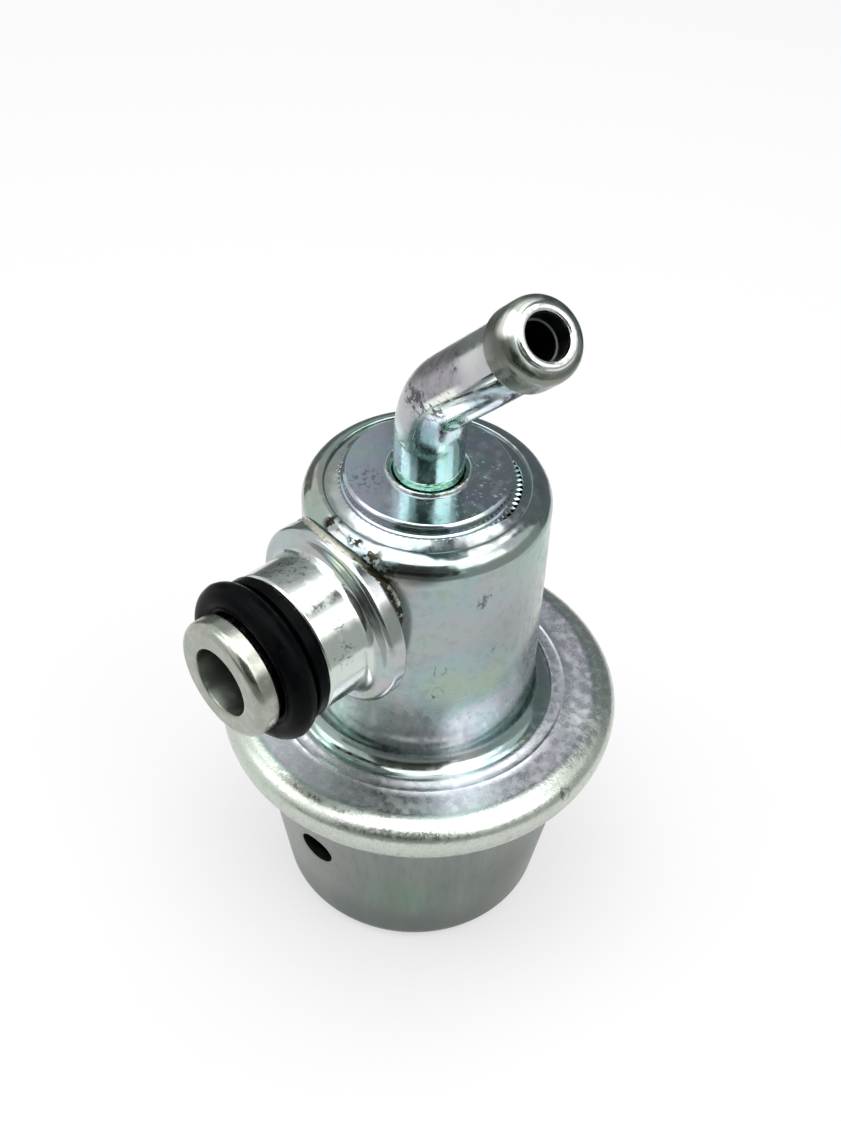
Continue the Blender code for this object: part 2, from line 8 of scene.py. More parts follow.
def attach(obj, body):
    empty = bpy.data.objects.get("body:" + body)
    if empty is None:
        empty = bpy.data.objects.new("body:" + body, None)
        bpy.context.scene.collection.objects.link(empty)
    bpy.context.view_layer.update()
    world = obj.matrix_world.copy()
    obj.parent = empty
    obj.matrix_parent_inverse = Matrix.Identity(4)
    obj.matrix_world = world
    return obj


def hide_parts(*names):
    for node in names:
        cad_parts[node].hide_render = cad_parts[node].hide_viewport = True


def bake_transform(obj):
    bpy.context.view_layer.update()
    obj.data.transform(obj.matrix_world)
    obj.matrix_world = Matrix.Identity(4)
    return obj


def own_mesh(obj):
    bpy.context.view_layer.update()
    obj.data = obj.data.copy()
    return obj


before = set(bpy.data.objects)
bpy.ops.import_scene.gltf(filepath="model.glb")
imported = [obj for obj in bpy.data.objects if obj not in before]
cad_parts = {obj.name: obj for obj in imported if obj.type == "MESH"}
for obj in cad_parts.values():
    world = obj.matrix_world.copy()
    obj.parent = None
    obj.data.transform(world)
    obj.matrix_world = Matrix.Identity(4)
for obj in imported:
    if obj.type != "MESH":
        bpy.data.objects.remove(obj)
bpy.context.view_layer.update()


# Spring chamber shell.
# The lower cup, deep drawn from steel sheet: flat base, slightly tapered wall, a flare under the clamped
# flange, and one pierced vent. Its zinc is satin, with faint upright draw lines. The upper shell grips it.

# Sizes are in millimetres, and each mesh is brought to metres when it is made.
MM = 0.001
ONE = (1.0, 1.0, 1.0)
ORIGIN = (0.0, 0.0, 0.0)


def sum_of(operation, mirrored=False):
    """A method that adds one Math node. Mirrored, what calls it is the second number."""
    def work(self, other):
        return self.maths(operation, other, self) if mirrored else self.maths(operation, self, other)
    return work


class Value:
    """Something that runs through a node tree. Sums on numbers add the Math nodes for them."""

    def __init__(self, net, socket):
        self.net = net
        self.socket = socket

    def output(self, name):
        """Another output of the node that this comes from."""
        return Value(self.net, self.socket.node.outputs[name])

    def maths(self, operation, first, second=0.0):
        return self.net.node("ShaderNodeMath", {"operation": operation}, {0: first, 1: second})

    __add__ = sum_of("ADD")
    __radd__ = sum_of("ADD", mirrored=True)
    __sub__ = sum_of("SUBTRACT")
    __rsub__ = sum_of("SUBTRACT", mirrored=True)
    __mul__ = sum_of("MULTIPLY")
    __rmul__ = sum_of("MULTIPLY", mirrored=True)
    __truediv__ = sum_of("DIVIDE")
    __pow__ = sum_of("POWER")


class Net:
    """A node tree made by calls. Each call adds one node, sets it, and then fills or joins its sockets."""

    def __init__(self, tree):
        self.tree = tree

    def node(self, kind, settings=None, sockets=None, output=0):
        made = self.tree.nodes.new(kind)
        for name, value in (settings or {}).items():
            if name == "stops":
                elements = made.color_ramp.elements
                while len(elements) < len(value):
                    elements.new(1.0)
                for stop, (position, colour) in zip(elements, value):
                    stop.position = position
                    stop.color = (*colour, 1.0)
            else:
                setattr(made, name, value)
        for key, value in (sockets or {}).items():
            if isinstance(value, Value):
                self.tree.links.new(value.socket, made.inputs[key])
            else:
                made.inputs[key].default_value = value
        if made.outputs:
            return Value(self, made.outputs[output])
        return made

    def length(self, vector):
        return self.node("ShaderNodeVectorMath", {"operation": "LENGTH"}, {0: vector}, "Value")


def bare_material(name):
    made = bpy.data.materials.new(name)
    made.use_nodes = True
    made.node_tree.nodes.clear()
    return made


class Finish(Net):
    """A surface built up in layers. Each layer changes its colour, its roughness or its height."""

    def __init__(self, name, colour, roughness, metallic=1.0):
        self.material = bare_material(name)
        super().__init__(self.material.node_tree)
        self.place = self.node("ShaderNodeTexCoord", output="Object")
        self.colour = (*colour, 1.0)
        self.roughness = roughness
        self.metallic = metallic
        self.height = None

    def stretched(self, scale=ONE, centre=ORIGIN, turn=ORIGIN):
        """Object coordinates, scaled by axis about a centre."""
        sockets = {0: self.place, 1: (1.0 / MM,) * 3, 2: tuple(-part for part in centre)}
        moved = self.node("ShaderNodeVectorMath", {"operation": "MULTIPLY_ADD"}, sockets)
        return self.node("ShaderNodeMapping", {}, {"Vector": moved, "Rotation": turn, "Scale": scale})

    def along(self, axis, turn=ORIGIN):
        """The coordinate along an axis, which is 0, 1 or 2."""
        return self.node("ShaderNodeSeparateXYZ", {}, {0: self.stretched(turn=turn)}, axis)

    def from_axis(self, centre=ORIGIN, across=(1.0, 1.0, 0.0)):
        """Distance from a line through the centre. It runs along the axis whose part is 0."""
        return self.length(self.stretched(across, centre))

    def rise(self, value, low, high):
        """0 below low, 1 above high, and smooth between them."""
        sockets = {"Value": value, "From Min": low, "From Max": high}
        return self.node("ShaderNodeMapRange", {"interpolation_type": "SMOOTHSTEP"}, sockets)

    def fall(self, value, low, high):
        return 1.0 - self.rise(value, low, high)

    def between(self, value, low, full, still_full, high):
        return self.rise(value, low, full) * self.fall(value, still_full, high)

    def grain(self, size, detail=2.0, stretch=ONE, centre=ORIGIN):
        """Noise from 0 to 1, whose features are about size across."""
        where = self.stretched(tuple(part / size for part in stretch), centre)
        return self.node("ShaderNodeTexNoise", {}, {"Vector": where, "Scale": 1.0, "Detail": detail})

    def flecks(self, size, detail, low, high, stretch=ONE, centre=ORIGIN):
        """1 where such noise is above high, and 0 where it is below low."""
        return self.rise(self.grain(size, detail, stretch, centre), low, high)

    def veins(self, size, width, stretch=ONE):
        """1 along thin wandering lines, size apart, and 0 away from them."""
        level = self.grain(size, 3.0, stretch) - 0.5
        return self.fall(level.maths("ABSOLUTE", level), 0.0, width)

    def spot(self, centre, size, blur, stretch=ONE):
        """1 within an oval about a centre, and 0 outside it."""
        where = self.stretched(tuple(part / size for part in stretch), centre)
        return self.fall(self.length(where), 1.0 - blur, 1.0)

    def tint(self, share, colour):
        sockets = {0: share, 6: self.colour, 7: (*colour, 1.0)}
        self.colour = self.node("ShaderNodeMix", {"data_type": "RGBA"}, sockets, 2)

    def patch(self, centre, size, blur, share, colour, within=1.0, stretch=ONE):
        """Tints an oval, or as much of it as a mask leaves."""
        self.tint(self.spot(centre, size, blur, stretch) * (share * within), colour)

    def patches(self, places, blur, share, colour, within):
        """The same patch at each place, which is a centre and a size."""
        for *centre, size in places:
            self.patch(centre, size, blur, share, colour, within)

    def raise_by(self, height):
        self.height = height if self.height is None else self.height + height

    def close(self, shine=0.5):
        sockets = {"Base Color": self.colour, "Roughness": self.roughness, "Metallic": self.metallic}
        sockets["Specular IOR Level"] = shine
        if self.height is not None:
            sockets["Normal"] = self.node("ShaderNodeBump", {}, {"Distance": MM, "Height": self.height})
        shader = self.node("ShaderNodeBsdfPrincipled", {}, sockets)
        self.node("ShaderNodeOutputMaterial", {}, {"Surface": shader})
        return self.material


def toned(tone, change, play):
    return tuple(part * (1.0 + play * step) for part, step in zip(tone, change))


def zinc_plate(name, tone, shine, patches, play=1.0, mottling=1.0):
    """Clear-passivated zinc: broad pink, green and blue patches, fine mottling, pores and soft waves."""
    finish = Finish(name, tone, shine)
    sheen = finish.grain(patches, 4.0, centre=(3.0, 8.0, 1.0))
    stops = [
        (0.32, toned(tone, (-0.16, 0.06, -0.02), play)),
        (0.42, tone),
        (0.50, toned(tone, (0.05, -0.04, 0.04), play)),
        (0.57, toned(tone, (-0.08, 0.01, 0.08), play)),
        (0.66, toned(tone, (0.01, 0.06, -0.08), play)),
    ]
    finish.colour = finish.node("ShaderNodeValToRGB", {"stops": stops}, {0: sheen})
    mottle = finish.grain(0.9, 5.0)
    finish.tint(finish.rise(mottle, 0.50, 0.72) * (0.20 * mottling), tuple(0.7 * part for part in tone))
    pores = finish.flecks(0.22, 2.0, 0.68, 0.78)
    finish.tint(pores * (0.30 * mottling), tuple(0.4 * part for part in tone))
    finish.roughness = shine + 0.13 * mottling * finish.rise(mottle, 0.42, 0.70) + 0.12 * mottling * pores
    finish.raise_by(0.012 * finish.grain(2.6, 2.0) + 0.0012 * finish.grain(0.35, 3.0))
    return finish


def placed(name, data):
    """A new object in the scene."""
    obj = bpy.data.objects.new(name, data)
    bpy.context.scene.collection.objects.link(obj)
    return obj


def evaluated(obj):
    """The plain mesh that an object's modifiers make of it. The object goes."""
    bpy.context.view_layer.update()
    graph = bpy.context.evaluated_depsgraph_get()
    mesh = bpy.data.meshes.new_from_object(obj.evaluated_get(graph))
    bpy.data.objects.remove(obj, do_unlink=True)
    return mesh


def shaded(mesh, crease):
    """The mesh, smooth but for edges that are sharper than the crease in degrees."""
    mesh.shade_smooth()
    mesh.set_sharp_from_angle(angle=math.radians(crease))
    return mesh


def settled(mesh, place, crease):
    """The mesh at its place, in metres, without doubles and with faces that point outwards."""
    mesh.transform(Matrix.Scale(MM, 4) @ place)
    shape = bmesh.new()
    shape.from_mesh(mesh)
    bmesh.ops.remove_doubles(shape, verts=shape.verts, dist=0.0005 * MM)
    bmesh.ops.recalc_face_normals(shape, faces=shape.faces)
    shape.to_mesh(mesh)
    shape.free()
    return shaded(mesh, crease)


def skinned(name, rings, closed=False, capped=False, place=Matrix(), crease=32.0):
    """A mesh over rings of points, each ring joined to the next. A ring of one point is a pole."""
    points = []
    loops = []
    for ring in rings:
        loops.append(list(range(len(points), len(points) + len(ring))))
        points += ring
    pairs = list(zip(loops, loops[1:]))
    if closed:
        pairs.append((loops[-1], loops[0]))
    faces = [loops[0], loops[-1]] if capped else []
    for first, second in pairs:
        for here in range(max(len(first), len(second))):
            after = here + 1
            corners = [first[here % len(first)], second[here % len(second)]]
            corners += [second[after % len(second)], first[after % len(first)]]
            corners = list(dict.fromkeys(corners))
            if len(corners) > 2:
                faces.append(corners)
    mesh = bpy.data.meshes.new(name)
    mesh.from_pydata(points, [], faces)
    return settled(mesh, place, crease)


def polar(angle, radius, height):
    """A point by its angle about the body's axis, its distance from it and its height."""
    return Vector((radius * math.cos(angle), radius * math.sin(angle), height))


def angles(start, end, steps):
    """Even steps from one angle to another, which are in degrees."""
    return [math.radians(start + (end - start) * step / steps) for step in range(steps + 1)]


def round_points(radius_at, height_at, radius, start, end, steps):
    """Points of a round in a turned profile."""
    turns = angles(start, end, steps)
    return [(radius_at + radius * math.cos(turn), height_at + radius * math.sin(turn)) for turn in turns]


def corner(radius, height, *offsets):
    """Points of a turned profile, at small offsets from one place."""
    return [(radius + out, height + up) for out, up in offsets]


def part_way(first, second, share):
    return tuple(a + (b - a) * share for a, b in zip(first, second))


def firmed(profile):
    """The profile with points just inside the ends of its long runs, so that smooth shading stays flat."""
    points = []
    for first, second in zip(profile, profile[1:]):
        points.append(first)
        length = math.dist(first, second)
        if length > 0.6:
            points.append(part_way(first, second, 0.05 / length))
            points.append(part_way(first, second, 1.0 - 0.05 / length))
    points.append(profile[-1])
    return points


def turned(name, profile, steps, ring=False, place=Matrix(), reshape=None, crease=32.0):
    """A mesh turned from (radius, height) pairs. A ring's profile is closed. Reshape moves each point."""
    rings = []
    for radius, height in firmed(profile):
        points = []
        for step in range(steps if radius > 0.001 else 1):
            point = polar(2.0 * math.pi * step / steps, radius, height)
            points.append(reshape(point) if reshape else point)
        rings.append(points)
    return skinned(name, rings, closed=ring, place=place, crease=crease)


def level_axis(height, azimuth):
    """Turns a piece's own +Z to a level axis that leaves the body at a height."""
    turn = Matrix.Rotation(azimuth + math.pi / 2, 4, "Z") @ Matrix.Rotation(math.pi / 2, 4, "X")
    return Matrix.Translation((0.0, 0.0, height)) @ turn


def drilled(mesh, radius, near, far, steps, place):
    """The mesh with a round hole cut in it, from one distance along the place's axis to another."""
    tool = turned("drill", [(0.0, far), (radius, far), (radius, near), (0.0, near)], steps, place=place)
    body = placed("work", mesh)
    drill = placed("drill", tool)
    change = body.modifiers.new("cut", "BOOLEAN")
    change.object = drill
    change.operation = "DIFFERENCE"
    change.solver = "EXACT"
    made = evaluated(body)
    bpy.data.objects.remove(drill, do_unlink=True)
    return shaded(made, 32.0)


def dress(mesh, finish):
    mesh.materials.clear()
    mesh.materials.append(finish)


def show(name, mesh, finish, body="housing", stands_for=None):
    """Puts a finished mesh on its body, with its finish, and hides the CAD node that it stands for."""
    obj = placed(name, mesh)
    dress(mesh, finish)
    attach(obj, body)
    if stands_for:
        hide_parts(stands_for)
    return obj


CUP_WALL = 0.90
CUP_CORNER = 2.1
CUP_CORNER_AT = 11.3
CUP_TAPER = math.atan(0.16)
CUP_FLARE = 1.1
CUP_FLARE_AT = (17.565, 21.0)
CUP_FLANGE_RADIUS = 17.9
VENT_HEIGHT = 13.3
VENT_RADIUS = 1.9
VENT_AZIMUTH = math.radians(-83.0)
VENT_REACH = 14.6

lean = math.degrees(CUP_TAPER)
cup_profile = [(0.0, CUP_WALL), (6.0, CUP_WALL)]
cup_profile += round_points(CUP_CORNER_AT, CUP_CORNER, CUP_CORNER - CUP_WALL, -90, -lean, 8)
cup_profile += round_points(*CUP_FLARE_AT, CUP_FLARE + CUP_WALL, 180 - lean, 90, 8)
cup_profile += corner(CUP_FLANGE_RADIUS, 22.1, (-0.1, 0.9), (0.0, 0.8), (0.0, 0.1), (-0.1, 0.0))
cup_profile += round_points(*CUP_FLARE_AT, CUP_FLARE, 90, 180 - lean, 12)
wall_top = cup_profile[-1]
wall_foot = round_points(CUP_CORNER_AT, CUP_CORNER, CUP_CORNER, -lean, -90, 14)
cup_profile += [part_way(wall_top, wall_foot[0], share) for share in (0.25, 0.5, 0.75)]
cup_profile += wall_foot + [(6.0, 0.0), (0.0, 0.0)]
cup_mesh = turned("cup", cup_profile, 160)
cup_mesh = drilled(cup_mesh, VENT_RADIUS, 8.0, 20.0, 48, level_axis(VENT_HEIGHT, VENT_AZIMUTH))

satin = zinc_plate("satin_zinc", (0.155, 0.18, 0.16), 0.28, 14.0, play=0.7, mottling=0.15)
cup_height = satin.along(2)
# Painted light: the wall is tinted lighter towards the flare, and a broad patch on its front is lighter
# still.
satin.tint(satin.rise(cup_height, 10.0, 22.0) * 0.45, (0.29, 0.31, 0.28))
satin.patch((-2.0, -15.0, 14.0), 13.0, 0.9, 0.55, (0.32, 0.33, 0.30))
draw_lines = satin.grain(0.45, 3.0, stretch=(1.0, 1.0, 0.008))
streaks = satin.grain(3.4, 3.0, stretch=(1.0, 1.0, 0.08))
satin.tint(satin.rise(streaks, 0.40, 0.68) * 0.50, (0.24, 0.27, 0.24))
satin.tint(satin.rise(draw_lines, 0.45, 0.75) * 0.26, (0.09, 0.105, 0.09))
# Painted shade: the wall's right side and its lowest part are tinted darker.
satin.patch((14.6, 0.5, 9.0), 8.0, 0.9, 0.65, (0.08, 0.095, 0.078))
satin.tint(satin.fall(cup_height, 3.0, 8.0) * 0.55, (0.08, 0.095, 0.085))
satin.raise_by(0.004 * draw_lines)
satin.patch((9.0, -10.5, 9.0), 5.0, 0.9, 0.55, (0.13, 0.26, 0.17), within=satin.rise(streaks, 0.35, 0.6))
satin.raise_by(-0.16 * satin.spot(polar(VENT_AZIMUTH, VENT_REACH, VENT_HEIGHT), 2.45, 0.22))
satin.roughness += 0.04
show("drawn_lower_shell", cup_mesh, satin.close(), stands_for="spring_chamber_shell")


# Pressed plates and spring seat.
# Plain steel pressings on both sides of the diaphragm, the ring on the cup's floor that keeps the spring
# central, and the retainer that keeps the ball in its socket. They are the CAD's own solids.

pressed = Finish("pressed_steel", (0.50, 0.50, 0.50), 0.34)
pressing_marks = pressed.grain(0.35, 4.0, stretch=(1.0, 1.0, 0.1))
pressed.tint(pressed.rise(pressing_marks, 0.45, 0.75) * 0.5, (0.33, 0.33, 0.34))
pressed.tint(pressed.flecks(4.0, 3.0, 0.52, 0.66) * 0.35, (0.40, 0.36, 0.30))
pressed.roughness = 0.26 + 0.22 * pressed.rise(pressing_marks, 0.35, 0.75)
pressed.raise_by(0.004 * pressing_marks)
pressed_steel = pressed.close()
for name in ("lower_spring_seat", "diaphragm_upper_plate", "diaphragm_lower_plate", "valve_ball_retainer"):
    dress(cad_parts[name].data, pressed_steel)


# Pressure spring and ball spring.
# Hard-drawn spring wire, coiled, with closed ends that are ground flat on the big one. The pressure spring
# stands on its seat in the cup and shortens as the valve opens; the small one holds the ball up.

wire = Finish("spring_wire", (0.30, 0.30, 0.31), 0.30)
drawing_lines = wire.grain(0.12, 3.0)
wire.tint(wire.rise(drawing_lines, 0.5, 0.72) * 0.6, (0.14, 0.14, 0.15))
wire.tint(wire.flecks(2.2, 2.0, 0.5, 0.62) * 0.3, (0.36, 0.30, 0.24))
wire.roughness = 0.24 + 0.20 * drawing_lines
wire.raise_by(0.003 * drawing_lines)
spring_wire = wire.close()


class Grower(Net):
    """A Geometry Nodes tree that makes a mesh from sizes. Each size is an input with a name."""

    def __init__(self, name, sizes):
        super().__init__(bpy.data.node_groups.new(name, "GeometryNodeTree"))
        face = self.tree.interface
        face.new_socket("Geometry", in_out="INPUT", socket_type="NodeSocketGeometry")
        for size in sizes:
            face.new_socket(size, in_out="INPUT", socket_type="NodeSocketFloat")
        face.new_socket("finish", in_out="INPUT", socket_type="NodeSocketMaterial")
        face.new_socket("Geometry", in_out="OUTPUT", socket_type="NodeSocketGeometry")
        self.given = self.node("NodeGroupInput")
        self.sizes = [self.given.output(size) for size in sizes]

    def clamp(self, value, low, high):
        return self.node("ShaderNodeClamp", {}, {"Value": value, "Min": low, "Max": high})

    def end(self, solid):
        solid = self.node("GeometryNodeRealizeInstances", {}, {0: solid})
        sockets = {"Geometry": solid, "Material": self.given.output("finish")}
        self.node("NodeGroupOutput", {}, {0: self.node("GeometryNodeSetMaterial", {}, sockets)})

    def grown(self, name, crease=32.0, **values):
        """The plain mesh that the tree makes from these sizes and this finish."""
        seed = placed(name, bpy.data.meshes.new(name))
        maker = seed.modifiers.new("maker", "NODES")
        maker.node_group = self.tree
        for item in self.tree.interface.items_tree:
            if item.in_out == "INPUT" and item.name in values:
                maker[item.identifier] = values[item.name]
        return settled(evaluated(seed), Matrix(), crease)


def coil_tree():
    """A compression spring: closed first and last turns, and ends cut off flat."""
    sizes = ["wire_radius", "mean_radius", "turns", "bottom", "top", "flat_bottom", "flat_top"]
    net = Grower("compression_spring", sizes)
    thickness, mean, turns, bottom, top, flat_bottom, flat_top = net.sizes
    line = net.node("GeometryNodeMeshLine", {}, {"Count": 360})
    line = net.node("GeometryNodeMeshToCurve", {}, {0: line})
    turn = net.node("GeometryNodeSplineParameter", {}, {}, "Factor") * turns
    closed = thickness * 2.12
    opened = (top - bottom - closed * 2.0) / (turns - 2.0)
    first = net.clamp(turn, 0.0, 1.0)
    middle = net.clamp(turn - 1.0, 0.0, turns - 2.0)
    last = net.clamp(turn - turns + 1.0, 0.0, 1.0)
    height = bottom + closed * (first + last) + opened * middle
    angle = turn * (2.0 * math.pi)
    across = mean * angle.maths("COSINE", angle)
    depth = mean * angle.maths("SINE", angle)
    point = net.node("ShaderNodeCombineXYZ", {}, {0: across, 1: depth, 2: height})
    helix = net.node("GeometryNodeSetPosition", {}, {"Geometry": line, "Position": point})
    section = net.node("GeometryNodeCurvePrimitiveCircle", {}, {"Resolution": 14, "Radius": thickness})
    sockets = {"Curve": helix, "Profile Curve": section, "Fill Caps": True}
    solid = net.node("GeometryNodeCurveToMesh", {}, sockets)
    spot = net.node("GeometryNodeInputPosition")
    x, y, z = [net.node("ShaderNodeSeparateXYZ", {}, {0: spot}, axis) for axis in (0, 1, 2)]
    ground = net.node("ShaderNodeCombineXYZ", {}, {0: x, 1: y, 2: net.clamp(z, flat_bottom, flat_top)})
    net.end(net.node("GeometryNodeSetPosition", {}, {"Geometry": solid, "Position": ground}))
    return net


SPRING_BOTTOM = 2.1
SPRING_TOP = 23.55
SPRING_WIRE = 1.0

coil = coil_tree()
pressure_coil = coil.grown(
    "pressure_coil",
    wire_radius=SPRING_WIRE,
    mean_radius=7.15,
    turns=5.5,
    bottom=SPRING_BOTTOM + 0.4 * SPRING_WIRE,
    top=SPRING_TOP - 0.4 * SPRING_WIRE,
    flat_bottom=SPRING_BOTTOM,
    flat_top=SPRING_TOP,
    finish=spring_wire,
)
spring = show(
    "coiled_pressure_spring", pressure_coil, spring_wire, stands_for="pressure_spring"
)
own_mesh(spring)

ball_coil = coil.grown(
    "ball_coil",
    wire_radius=0.18,
    mean_radius=0.95,
    turns=3.5,
    bottom=23.78,
    top=25.67,
    flat_bottom=23.6,
    flat_top=25.85,
    finish=spring_wire,
)
show("coiled_ball_spring", ball_coil, spring_wire, "valve_carrier", "valve_ball_spring")


# Valve.
# Seat, holder, ball and sealing plate, turned or ground from hardened steel. The ball has a flat ground on
# it, and the plate welded to that flat swivels to meet the seat squarely. They are the CAD's own solids.

ground = Finish("hardened_steel", (0.56, 0.57, 0.59), 0.16)
turning = ground.grain(0.16, 2.0, stretch=(0.12, 0.12, 1.0))
ground.tint(ground.rise(turning, 0.45, 0.75) * 0.4, (0.38, 0.39, 0.41))
ground.tint(ground.flecks(3.2, 2.0, 0.55, 0.70) * 0.25, (0.52, 0.44, 0.34))
ground.roughness = 0.12 + 0.16 * ground.rise(turning, 0.40, 0.75)
ground.raise_by(0.002 * turning)
hardened_steel = ground.close()
for name in ("valve_seat", "valve_holder", "valve_ball", "valve_plate"):
    dress(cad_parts[name].data, hardened_steel)


# Diaphragm.
# Fabric-backed rubber, moulded with one rolled convolution and a thick edge bead that the crimp grips. Its
# middle moves with the plates. It is made as twelve equal wedges, because a piece bends along one line only.

membrane = Finish("diaphragm_rubber", (0.030, 0.028, 0.026), 0.62, 0.0)
weave = membrane.grain(0.18, 1.0, (1.0, 0.25, 1.0)) + membrane.grain(0.18, 1.0, (0.25, 1.0, 1.0))
membrane.tint(membrane.rise(weave, 0.85, 1.25) * 0.6, (0.052, 0.048, 0.044))
membrane.roughness = 0.52 + 0.18 * weave
membrane.raise_by(0.02 * weave)
rubber_sheet = membrane.close()

DIAPHRAGM_TOP = 25.20
DIAPHRAGM_BOTTOM = 24.85
DIAPHRAGM_BORE = 3.05
WAVE_START = 10.0
WAVE_END = 15.4
WAVE_DEPTH = 2.1
WAVE_STEPS = 12
EDGE_BEAD_INNER = 16.4
EDGE_BEAD_OUTER = 17.8
EDGE_BEAD_BOTTOM = 23.3
WEDGES = 12
WEDGE_STEPS = 4

wave = []
for step in range(WAVE_STEPS + 1):
    share = step / WAVE_STEPS
    wave.append((WAVE_START + (WAVE_END - WAVE_START) * share, WAVE_DEPTH * math.sin(math.pi * share) ** 2))
section = [(DIAPHRAGM_BORE, DIAPHRAGM_TOP)]
section += [(radius, DIAPHRAGM_TOP - drop) for radius, drop in wave]
section += [(EDGE_BEAD_OUTER, DIAPHRAGM_TOP), (EDGE_BEAD_OUTER, EDGE_BEAD_BOTTOM)]
section += [(EDGE_BEAD_INNER, EDGE_BEAD_BOTTOM), (EDGE_BEAD_INNER, DIAPHRAGM_BOTTOM)]
section += [(radius, DIAPHRAGM_BOTTOM - drop) for radius, drop in reversed(wave)]
section.append((DIAPHRAGM_BORE, DIAPHRAGM_BOTTOM))

for number in range(WEDGES):
    turns = angles(number * 360.0 / WEDGES, (number + 1) * 360.0 / WEDGES, WEDGE_STEPS)
    rings = [[polar(turn, radius, height) for radius, height in section] for turn in turns]
    piece = placed(f"diaphragm_wedge_{number + 1}", skinned("diaphragm_wedge", rings, capped=True))
    piece.data.materials.append(rubber_sheet)
    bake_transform(piece)
    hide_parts("diaphragm")


# Fuel chamber shell.
# The upper can, deep drawn from steel sheet and bright zinc plated: coined mouth, round shoulder, cylinder,
# concave foot, ringed annulus and a rolled rim. The rim's lip is folded under the lower shell's flange.

SHELL_WALL = 0.70
MOUTH_RADIUS = 8.38
MOUTH_TOP = 52.02
MOUTH_OPEN_SIDE = 38.0
COINED_RADIUS = 9.1
CYLINDER_RADIUS = 11.26
SHOULDER_AT = (9.26, 50.0)
SHOULDER_RADIUS = 2.0
FOOT_AT = (13.01, 27.6)
FOOT_RADIUS = 1.75
RIM_RADIUS = 19.6
RIM_ROUND = 2.4
ROLL_HEIGHT = 24.3
ANNULUS_TOP = 26.10
LIP_BOTTOM = 21.0
LIP_RADIUS = 17.5
INLET_HEIGHT = 42.7
SHANK_HOLE = 5.7


def rim_points(depth, start, end, steps):
    """The rolled rim at a depth under its skin: a shallow round above, and a long turned-in lip below."""
    points = []
    for angle in angles(start, end, steps):
        above = math.sin(angle) > 0
        width = RIM_ROUND if above else RIM_RADIUS - LIP_RADIUS
        height = ANNULUS_TOP - ROLL_HEIGHT if above else ROLL_HEIGHT - LIP_BOTTOM
        out = math.cos(angle) / width
        up = math.sin(angle) / height
        slope = math.hypot(out, up)
        radius = RIM_RADIUS - width * (1 - math.cos(angle)) - depth * out / slope
        points.append((radius, ROLL_HEIGHT + height * math.sin(angle) - depth * up / slope))
    return points


def ramp(value):
    return max(0.0, min(1.0, value))


def uneven_edges(point):
    """The mouth is coined in over the plug's teeth but for one side, and the crimp's underside is wavy."""
    radius = math.hypot(point.x, point.y)
    if point.z > 51.5 and radius < COINED_RADIUS:
        away = math.degrees(math.atan2(point.y, point.x)) - MOUTH_OPEN_SIDE
        share = ramp((abs(math.remainder(away, 360.0)) - 22.0) / 20.0)
        share *= ramp((COINED_RADIUS - radius) / 0.6)
        scale = 1.0 - 0.44 * share / radius
        return Vector((point.x * scale, point.y * scale, point.z + 0.12 * share))
    if radius < LIP_RADIUS - 0.2:
        return point
    low = ramp((ROLL_HEIGHT + 0.5 - point.z) / 2.5)
    spot = Vector((point.x, point.y, 0.0)) * 0.42
    swell = noise.noise(spot) + 0.5 * noise.noise(spot * 2.7)
    shift = (0.01 + 0.035 * low) * min(0.0, swell)
    return Vector((point.x * (1 + shift / radius), point.y * (1 + shift / radius), point.z - shift * low))


shell_profile = corner(MOUTH_RADIUS, MOUTH_TOP, (0.0, -0.08), (0.06, 0.0), (0.32, -0.10))
shell_profile += corner(9.12, MOUTH_TOP, (0.0, -0.24), (0.08, -0.24), (0.12, -0.06))
shell_profile += round_points(*SHOULDER_AT, SHOULDER_RADIUS, 88, 0, 22)
shell_profile += [(CYLINDER_RADIUS, 43.0), (CYLINDER_RADIUS, 35.0)]
shell_profile += round_points(*FOOT_AT, FOOT_RADIUS, 180, 262, 18)
shell_profile += [(13.02, 25.86), (13.07, 25.98), (13.10, 26.10), (13.16, 26.15), (13.26, 26.16)]
shell_profile += [(13.42, 26.14), (13.62, 26.10), (13.86, 26.06), (14.16, 26.04), (14.30, 26.05)]
shell_profile += corner(14.37, 26.08, (0.0, 0.0), (0.07, 0.03), (0.15, 0.02), (0.25, -0.01))
shell_profile += [(15.2, 26.07), (16.4, 26.09)]
shell_profile += rim_points(0.0, 90, -86, 44)
shell_profile += [(LIP_RADIUS - 0.10, LIP_BOTTOM + 0.10)]
shell_profile += rim_points(SHELL_WALL, -86, 90, 22)
shell_profile += round_points(*FOOT_AT, FOOT_RADIUS + SHELL_WALL, 270, 180, 8)
shell_profile += round_points(*SHOULDER_AT, SHOULDER_RADIUS - SHELL_WALL, 0, 90, 6)
shell_profile += [(MOUTH_RADIUS, 51.3)]

inlet_place = level_axis(INLET_HEIGHT, -math.pi / 2)
shell_mesh = turned("upper_shell", shell_profile, 224, ring=True, reshape=uneven_edges)
shell_mesh = drilled(shell_mesh, SHANK_HOLE, 5.0, 15.0, 64, inlet_place)

shell = zinc_plate("bright_zinc_shell", (0.345, 0.405, 0.385), 0.14, 11.0, play=1.1)
radial = shell.from_axis()
height = shell.along(2)
annulus = shell.between(radial, 12.9, 13.2, 16.8, 17.6) * shell.between(height, 25.0, 25.8, 26.4, 27.0)
cloudy = shell.flecks(0.8, 5.0, 0.42, 0.62)
shell.tint(annulus * 0.80, (0.76, 0.75, 0.79))
shell.tint(annulus * cloudy * 0.45, (0.44, 0.41, 0.49))
